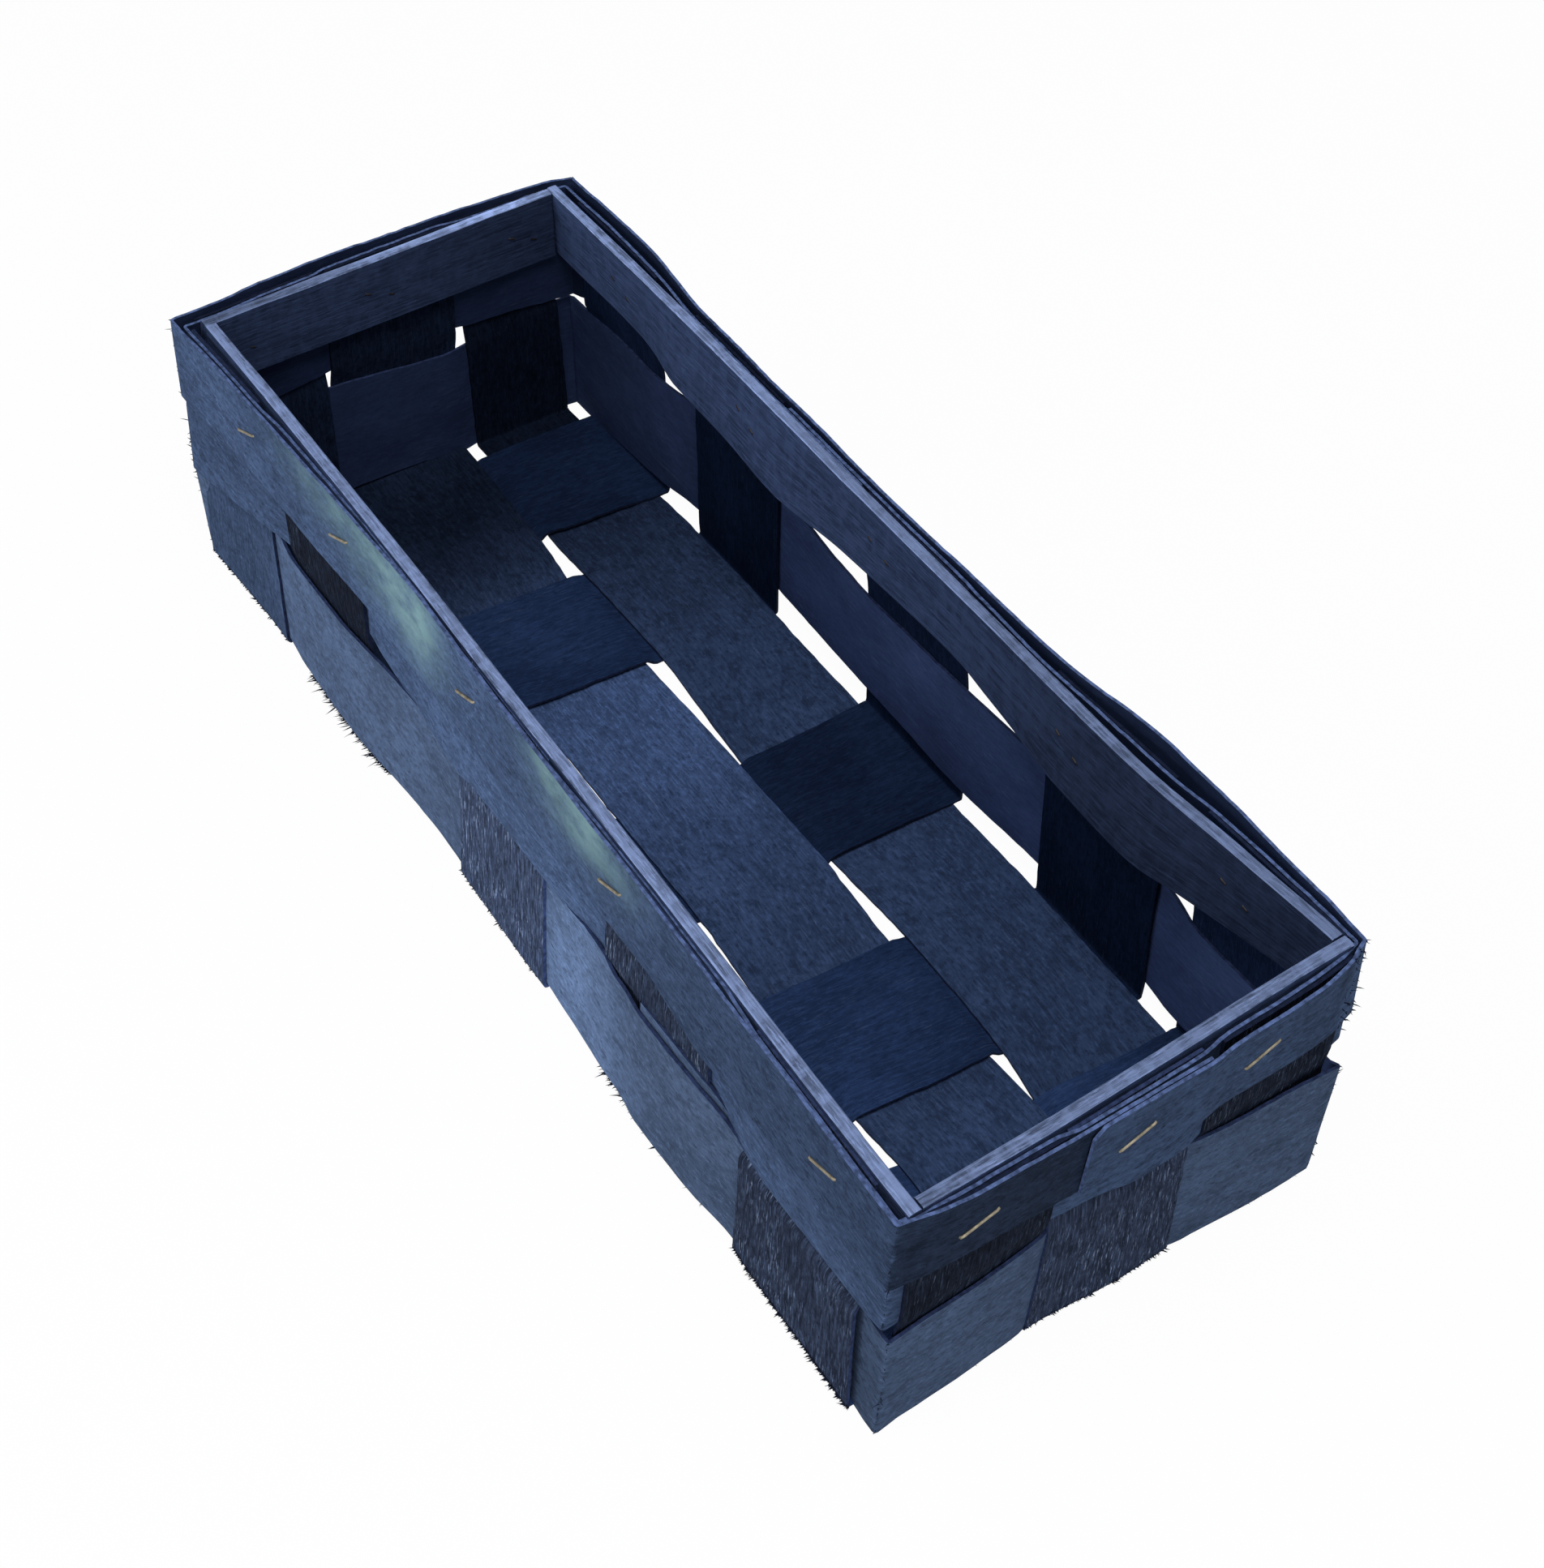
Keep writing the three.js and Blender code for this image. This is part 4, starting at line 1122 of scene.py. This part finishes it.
def lower_weaver(form):
    """The last end laps outside the first, from the fourth cross strip to under the fifth."""
    rng = np.random.default_rng([form.seed, 30])
    front, right, back, left = weaver_stations(form, False, LOWER_LEVEL)
    fourth, fifth = ([form.strip_edge("front", j, k, LOWER_LEVEL) for k in (0, 1)] for j in (3, 4))
    start = sum(fourth) / 2 - LOWER_LAP_START

    def lap(x, n):
        return (x, -form.layer("y", n))

    first = [lap(start, 1), *front[-3:]]
    last = [
        *front[:-3],
        lap(start - form.layer_gap - LAP_RAMP, 1),
        lap(start - form.layer_gap, 0),
        lap(fourth[1], 0),
        lap(fifth[0], 1),
        lap(fifth[0] + LOWER_LAP_TUCK, 1),
    ]

    def edges(path, run):
        lift = LOWER_LAP_LIFT * (1 - eased((run - LOWER_LAP_SHOWN) / LOWER_LAP_EASE))
        return form.round_edge("lower_bottom", path), form.round_edge("lower_top", path) + lift

    runs = runs_round(first, right, back, left, last)
    band(
        form, "lower_weaver", LOWER_FINISHES, runs, edges, "weave", rng, LOWER_DYE_AND_SHADING, LOWER_FLARE,
        lambda places: places**0.8,
    )


def upper_weaver(form):
    """Its ends lap on the back wall, between the second and the third cross strip."""
    rng = np.random.default_rng([form.seed, 31])
    front, right, back, left = weaver_stations(form, True, UPPER_LEVEL)
    inner, outer = form.strip_edge("back", 1, 1, UPPER_LEVEL), form.strip_edge("back", 2, 0, UPPER_LEVEL)
    first = [(outer - UPPER_LAP_MARGIN, back[-4][1]), *back[-4:]]
    last = [*back[:-4], (inner + UPPER_LAP_MARGIN, back[-5][1])]

    def edges(path, run):
        return form.round_edge("upper_bottom", path), np.full(len(path), form.upper_top)

    runs = runs_round(first, left, front, right, last)
    band(
        form, "upper_weaver", HOOP_FINISHES, runs, edges, "weave", rng, UPPER_DYE_AND_SHADING, UPPER_FLARE,
        lambda places: eased((0.8 - places) / 0.35),
    )


# Green blotches on the hoop: place, size and strength in millimetres
HOOP_STAINS = (
    ((-80, -57, 78), (22, 20, 8), 0.5),
    ((-52, -57, 75), (18, 20, 11), 0.7),
    ((-36, -57, 71), (11, 20, 12), 0.75),
    ((30, -57, 81), (13, 20, 10), 1.0),
    ((46, -57, 78), (15, 20, 9), 1.0),
)
HOOP_END_TONE = 0.39


def rim_hoop(form):
    """Its outer end starts on the right end wall and laps over its inner end."""
    rng = np.random.default_rng([form.seed, 32])
    x, y = form.layer("x", 0), form.layer("y", 0)
    end = form.hoop_lap_start + form.hoop_lap
    lapped, ramp = x + form.pitch, end + form.layer_gap
    outer = [(lapped, form.hoop_lap_start), (lapped, ramp), (x, ramp + LAP_RAMP)]
    runs = [
        [*outer, (x, y)],
        [(x, y), (-x, y)],
        [(-x, y), (-x, -y)],
        [(-x, -y), (x, -y)],
        [(x, -y), (x, end)],
    ]

    def edges(path, run):
        top = np.full(len(path), form.hoop_top)
        return form.round_edge("hoop_bottom", path), np.minimum(top, top - form.hoop_end_cut + run)

    band(
        form, "rim_hoop", HOOP_FINISHES, runs, edges, "hoop", rng, HOOP_DYE_AND_SHADING, HOOP_FLARE,
        lambda places: np.clip(2 * places - 1, 0, 1), HOOP_STAINS, (y + end, HOOP_END_TONE),
    )


# The rim's slats and staples


def wall_point(wall, along, out, up):
    """Points from a wall's own coordinates."""
    along, out, up = np.broadcast_arrays(along, out, up)
    pairs = {"front": (along, -out), "right": (out, along), "back": (along, out), "left": (-out, along)}
    return np.stack([*pairs[wall], up], -1).astype(float)


SLAT_BEVEL, SLAT_STEP = 0.3, 2.5
SLAT_TOP_COLUMNS = (1, 2, 3, 4)


def slat_section(form, out_axis):
    """Out and up of the points round a slat's cross-section, from its outer bottom edge."""
    outer = form.slat_outer(out_axis)
    inner = outer - form.slat_thickness
    top, bottom = form.height, form.height - form.slat_width
    b = SLAT_BEVEL
    outside = [(outer, bottom + b), (outer, top - b)]
    over = [(outer - b, top), ((outer + inner) / 2, top), (inner + b, top)]
    inside = [(inner, top - b), (inner, (top + bottom) / 2), (inner, bottom + b)]
    return np.array(outside + over + inside + [(inner + b, bottom), (outer - b, bottom)])


def rim_slat(form, quarter):
    """A sawn lath with broken edges, butted in a pinwheel."""
    wall = WALLS[quarter]
    rng = np.random.default_rng([form.seed, 40 + quarter])
    along_axis, out_axis = ("x", "y") if quarter % 2 == 0 else ("y", "x")
    start = -(form.slat_outer(along_axis) - form.slat_thickness - form.layer_gap)
    end = form.slat_outer(along_axis)
    stations = np.linspace(start, end, int((end - start) / SLAT_STEP) + 1) * (1 if quarter < 2 else -1)
    section = slat_section(form, out_axis)
    count, rows = len(section), len(stations)
    lowness = (form.height - section[:, 1]) / form.slat_width
    bow = smooth_line(SLAT_BOW[wall], stations)[:, None]
    uneven = waves(rng, stations[:, None], section[None, :, 0] * 9, *SLAT_WAVES) - SLAT_WAVES[0]
    out = section[:, 0] - bow * lowness
    up = section[:, 1] - bow * lowness**2 + uneven * (lowness < 0.1)
    points = form.settle(wall_point(wall, stations[:, None], out, up), "slat").reshape(-1, 3)
    number = np.arange(rows * count).reshape(rows, count)
    nxt = np.roll(number, -1, 1)
    quads = np.stack([number[:-1], number[1:], nxt[1:], nxt[:-1]], -1).reshape(-1, 4)
    faces = [tuple(q) for q in (*quads.tolist(), number[0, ::-1].tolist(), number[-1].tolist())]
    first = points[quads[0]]
    if np.dot(np.cross(first[1] - first[0], first[2] - first[0]), wall_point(wall, 0, 1, 0)) < 0:
        faces = [face[::-1] for face in faces]
    on_top = np.tile(np.isin(np.arange(count), SLAT_TOP_COLUMNS), rows - 1)
    slots = np.concatenate([on_top, [False, False]])
    around = run_lengths(np.concatenate([section, section[:1]]))
    shift = rng.uniform(0, GRAIN_REACH, 2)
    grain = []
    for n, face in enumerate(faces):
        spots = [divmod(v, count) for v in face]
        wraps = n < len(quads) and max(c for _, c in spots) - min(c for _, c in spots) > 1
        for r, c in spots:
            across = around[count] if wraps and c == 0 else around[c]
            run = abs(stations[r] - stations[0]) if n < len(quads) else section[c, 0] * 0.2
            grain.append((run + shift[0], across + shift[1]))
    tone = np.repeat(smooth_line(SLAT_DYE_AND_SHADING[wall], stations), count).reshape(rows, count)
    tone[:, section[:, 1] == form.height] = smooth_line(SLAT_TOP_DYE_AND_SHADING[wall], stations)[:, None]
    name, values = SLAT_NAMES[quarter], {"tone": tone.ravel()}
    piece = linked_piece(name, points, faces, ("slat_side", "slat_top"), slots, grain, values, 30)
    place_piece(piece, name)


STAPLE_TILT = math.radians(22)
STAPLE_CLINCH = 1.8
STAPLE_SOFTNESS = 0.3
# Share of the wire's radius by which its middle stands off the slat and the hoop
STAPLE_END_PROUD, STAPLE_CROWN_PROUD = 0.3, 0.7
WIRE_SIDES = 8


def tube(points, radius, sides):
    """A closed round wire along points."""
    points = np.asarray(points, float)
    ahead = np.gradient(points, axis=0)
    ahead /= np.linalg.norm(ahead, axis=1, keepdims=True)
    side = np.cross(ahead[0], (0.31, 0.17, 0.93))
    rings = []
    for centre, way in zip(points, ahead):
        side = side - way * np.dot(side, way)
        side /= np.linalg.norm(side)
        up = np.cross(way, side)
        angles = np.linspace(0, 2 * np.pi, sides, endpoint=False)
        rings.append(centre + radius * (np.cos(angles)[:, None] * side + np.sin(angles)[:, None] * up))
    number = np.arange(len(points) * sides).reshape(len(points), sides)
    nxt = np.roll(number, -1, 1)
    faces = np.stack([number[:-1], nxt[:-1], nxt[1:], number[1:]], -1).reshape(-1, 4).tolist()
    return np.concatenate(rings), faces + [number[0, ::-1].tolist(), number[-1].tolist()]


def staple(form, node_name):
    """Bent wire: crown on the hoop, legs through to the slat, ends clinched into the wood inside."""
    wall = node_name.split("_")[1]
    axis, out_axis = (0, "y") if wall in ("front", "back") else (1, "x")
    place = sum(low_high(node_name, axis)) / 2
    level = sum(low_high(node_name, 2)) / 2
    turn = 1 if wall in ("front", "right") else -1
    wire = form.staple_wire / 2
    leg = form.staple_crown / 2 - wire
    lap_end = form.hoop_lap_start + form.hoop_lap + LAP_RAMP
    lapped = wall == "right" and form.hoop_lap_start - leg < place < lap_end

    def spot(offset, inside):
        along = place + offset * math.cos(STAPLE_TILT)
        up = level + turn * offset * math.sin(STAPLE_TILT)
        rise = up / form.height
        if inside:
            lowness = (form.height - up) / form.slat_width
            bow = smooth_line(SLAT_BOW[wall], along) * lowness
            out = form.slat_outer(out_axis) - form.slat_thickness - bow + wire * STAPLE_END_PROUD
            out -= rise * form.draw("slat", wall, along)
        else:
            out = form.half[out_axis] - rise * form.draw("hoop", wall, along) + wire * STAPLE_CROWN_PROUD
            out += form.pitch if lapped else 0
        out += smooth_line(BASE_SPREAD[wall], along) * (1 - rise)
        return wall_point(wall, along, out, up)

    ends = [spot(STAPLE_CLINCH - leg, True), spot(leg - STAPLE_CLINCH, True)]
    knots = [ends[0], spot(-leg, True), spot(-leg, False), spot(leg, False), spot(leg, True), ends[1]]
    path = along_knots(np.array(knots)[:, None, :], STAPLE_SOFTNESS)
    path = path[thinned(path)][:, 0]
    points, faces = tube(path, wire, WIRE_SIDES)
    reach = np.abs(path[:, 1 - axis])
    tarnished = np.repeat((reach[1:] + reach[:-1]) / 2 < reach.max() - 2, WIRE_SIDES)
    slots = np.concatenate([tarnished, [True, True]])
    piece = linked_piece(node_name, points, faces, ("staple_brass", "staple_end"), slots, None, {}, 50)
    place_piece(piece, node_name)


# The stage: floor, light and camera

CAMERA_PLACE = Vector((0.326829, -0.210979, 0.455153))
CAMERA_AZIMUTH, CAMERA_ELEVATION, CAMERA_ROLL = (math.radians(a) for a in (54.504927, 48.511703, 2.077782))
CAMERA_SENSOR = 36.0
PHOTO_HEIGHT = 1934
FOCAL_PIXELS = 2859.85
FLOOR_REACH, FLOOR_LEVEL = 3.0, -0.0003
FLOOR_GLOW = 0.96
AMBIENT_COLOUR, AMBIENT_STRENGTH = (0.94, 0.97, 1.0, 1), 0.22
# Name, place, target, size in metres and power in watts
LAMPS = (
    ("front_light", (-0.35, -1.6, 0.75), (0, 0, 0.04), 1.0, 9.5),
    ("end_light", (1.6, -0.35, 0.35), (0.1, 0, 0.04), 0.8, 4),
    ("top_light", (0.4, -0.3, 1.5), (0.02, 0, 0.03), 0.9, 14.5),
)


def seen_directly(tree):
    """1 for rays from the camera, and for those that metal or glass passes on."""
    path = node(tree, "ShaderNodeLightPath").outputs
    either = maths(tree, "MAXIMUM", path["Is Camera Ray"], path["Is Glossy Ray"])
    return maths(tree, "MAXIMUM", either, path["Is Transmission Ray"])


def make_floor(floor_colour):
    mesh = bpy.data.meshes.new("studio_floor")
    r = FLOOR_REACH
    corners = [(x, y, FLOOR_LEVEL) for x, y in ((-r, -r), (r, -r), (r, r), (-r, r))]
    mesh.from_pydata(corners, [], [(0, 1, 2, 3)])
    floor = linked("studio_floor", mesh)
    tree, shader = blank_material("studio_floor")
    shader.inputs["Base Color"].default_value = floor_colour
    shader.inputs["Roughness"].default_value = 0.9
    shader.inputs["Specular IOR Level"].default_value = 0.0
    glow = node(tree, "ShaderNodeEmission", {"Color": (1, 1, 1, 1), "Strength": 1.0})
    share = times(tree, seen_directly(tree), FLOOR_GLOW)
    both = node(tree, "ShaderNodeMixShader", {0: share, 1: shader.outputs[0], 2: glow.outputs[0]})
    output = next(n for n in tree.nodes if n.type == "OUTPUT_MATERIAL")
    tree.links.new(both.outputs[0], output.inputs["Surface"])
    mesh.materials.append(bpy.data.materials["studio_floor"])


def make_world():
    world = bpy.data.worlds.new("studio")
    bpy.context.scene.world = world
    world.use_nodes = True
    tree = world.node_tree
    tree.nodes.clear()
    backdrop = node(tree, "ShaderNodeBackground", {"Color": (1, 1, 1, 1), "Strength": 1.0})
    ambient = node(tree, "ShaderNodeBackground", {"Color": AMBIENT_COLOUR, "Strength": AMBIENT_STRENGTH})
    sockets = {0: seen_directly(tree), 1: ambient.outputs[0], 2: backdrop.outputs[0]}
    both = node(tree, "ShaderNodeMixShader", sockets)
    node(tree, "ShaderNodeOutputWorld", {"Surface": both.outputs[0]})


def make_lamp(name, place, target, size, power):
    lamp = bpy.data.lights.new(name, "AREA")
    lamp.shape = "DISK"
    lamp.size = size
    lamp.energy = power
    holder = linked(name, lamp)
    holder.location = place
    holder.rotation_euler = (Vector(target) - Vector(place)).to_track_quat("-Z", "Y").to_euler()


def make_camera():
    lens = bpy.data.cameras.new("camera")
    lens.sensor_width = CAMERA_SENSOR
    lens.lens = CAMERA_SENSOR * FOCAL_PIXELS / PHOTO_HEIGHT
    lens.clip_start = 0.01
    camera = linked("camera", lens)
    a, e, r = CAMERA_AZIMUTH, CAMERA_ELEVATION, CAMERA_ROLL
    back = Vector((math.sin(a) * math.cos(e), -math.cos(a) * math.cos(e), math.sin(e)))
    right = Vector((0, 0, 1)).cross(back).normalized()
    up = back.cross(right)
    turned_right = right * math.cos(r) + up * math.sin(r)
    turned_up = up * math.cos(r) - right * math.sin(r)
    turn = Matrix((turned_right, turned_up, back)).transposed().to_4x4()
    camera.matrix_world = Matrix.Translation(CAMERA_PLACE) @ turn
    bpy.context.scene.camera = camera


class BASKET_OT_stage(bpy.types.Operator):
    """Sets up the floor, the light and the camera"""

    bl_idname = "basket.stage"
    bl_label = "Stage"

    def execute(self, context):
        make_camera()
        make_floor(context.scene.basket_colours.floor)
        make_world()
        for lamp in LAMPS:
            make_lamp(*lamp)
        context.scene.view_settings.view_transform = "Standard"
        return {"FINISHED"}


class BASKET_OT_long_strips(bpy.types.Operator):
    """Weaves the three long strips over the floor and up both ends"""

    bl_idname = "basket.long_strips"
    bl_label = "Long strips"

    def execute(self, context):
        form = Form(context.scene.basket_sizes)
        for i in range(len(LONG_NAMES)):
            long_strip(form, i)
        return {"FINISHED"}


class BASKET_OT_cross_strips(bpy.types.Operator):
    """Weaves the five cross strips over the floor and up both long walls"""

    bl_idname = "basket.cross_strips"
    bl_label = "Cross strips"

    def execute(self, context):
        form = Form(context.scene.basket_sizes)
        for j in range(len(CROSS_NAMES)):
            cross_strip(form, j)
        return {"FINISHED"}


class BASKET_OT_weavers(bpy.types.Operator):
    """Runs the lower and the upper weaver round the walls"""

    bl_idname = "basket.weavers"
    bl_label = "Weavers"

    def execute(self, context):
        form = Form(context.scene.basket_sizes)
        lower_weaver(form)
        upper_weaver(form)
        return {"FINISHED"}


class BASKET_OT_rim_hoop(bpy.types.Operator):
    """Wraps the hoop round the outside of the rim"""

    bl_idname = "basket.rim_hoop"
    bl_label = "Rim hoop"

    def execute(self, context):
        rim_hoop(Form(context.scene.basket_sizes))
        return {"FINISHED"}


class BASKET_OT_rim_slats(bpy.types.Operator):
    """Sets the four slats inside the rim"""

    bl_idname = "basket.rim_slats"
    bl_label = "Rim slats"

    def execute(self, context):
        form = Form(context.scene.basket_sizes)
        for quarter in range(len(WALLS)):
            rim_slat(form, quarter)
        return {"FINISHED"}


class BASKET_OT_staples(bpy.types.Operator):
    """Drives the wire staples through the rim"""

    bl_idname = "basket.staples"
    bl_label = "Staples"

    def execute(self, context):
        form = Form(context.scene.basket_sizes)
        for name in STAPLE_NAMES:
            staple(form, name)
        return {"FINISHED"}


STEPS = (
    BASKET_OT_stage,
    BASKET_OT_long_strips,
    BASKET_OT_cross_strips,
    BASKET_OT_weavers,
    BASKET_OT_rim_hoop,
    BASKET_OT_rim_slats,
    BASKET_OT_staples,
)


class BASKET_PT_panel(bpy.types.Panel):
    """Lists the basket's steps, sizes and colours"""

    bl_idname = "BASKET_PT_panel"
    bl_label = "Woven chip basket"
    bl_space_type = "VIEW_3D"
    bl_region_type = "UI"
    bl_category = "Basket"

    def draw(self, context):
        for step in STEPS:
            self.layout.operator(step.bl_idname)
        for group in (context.scene.basket_sizes, context.scene.basket_colours):
            box = self.layout.box()
            for name in group.__annotations__:
                box.prop(group, name)


CLASSES = (BasketSizes, BasketColours, *STEPS, BASKET_PT_panel)


def register():
    for cls in CLASSES:
        bpy.utils.register_class(cls)
    bpy.types.Scene.basket_sizes = PointerProperty(type=BasketSizes)
    bpy.types.Scene.basket_colours = PointerProperty(type=BasketColours)


def unregister():
    del bpy.types.Scene.basket_colours
    del bpy.types.Scene.basket_sizes
    for cls in reversed(CLASSES):
        bpy.utils.unregister_class(cls)


def main():
    register()
    bpy.ops.basket.stage()
    bpy.ops.basket.long_strips()
    bpy.ops.basket.cross_strips()
    bpy.ops.basket.weavers()
    bpy.ops.basket.rim_hoop()
    bpy.ops.basket.rim_slats()
    bpy.ops.basket.staples()


if __name__ == "__main__":
    main()
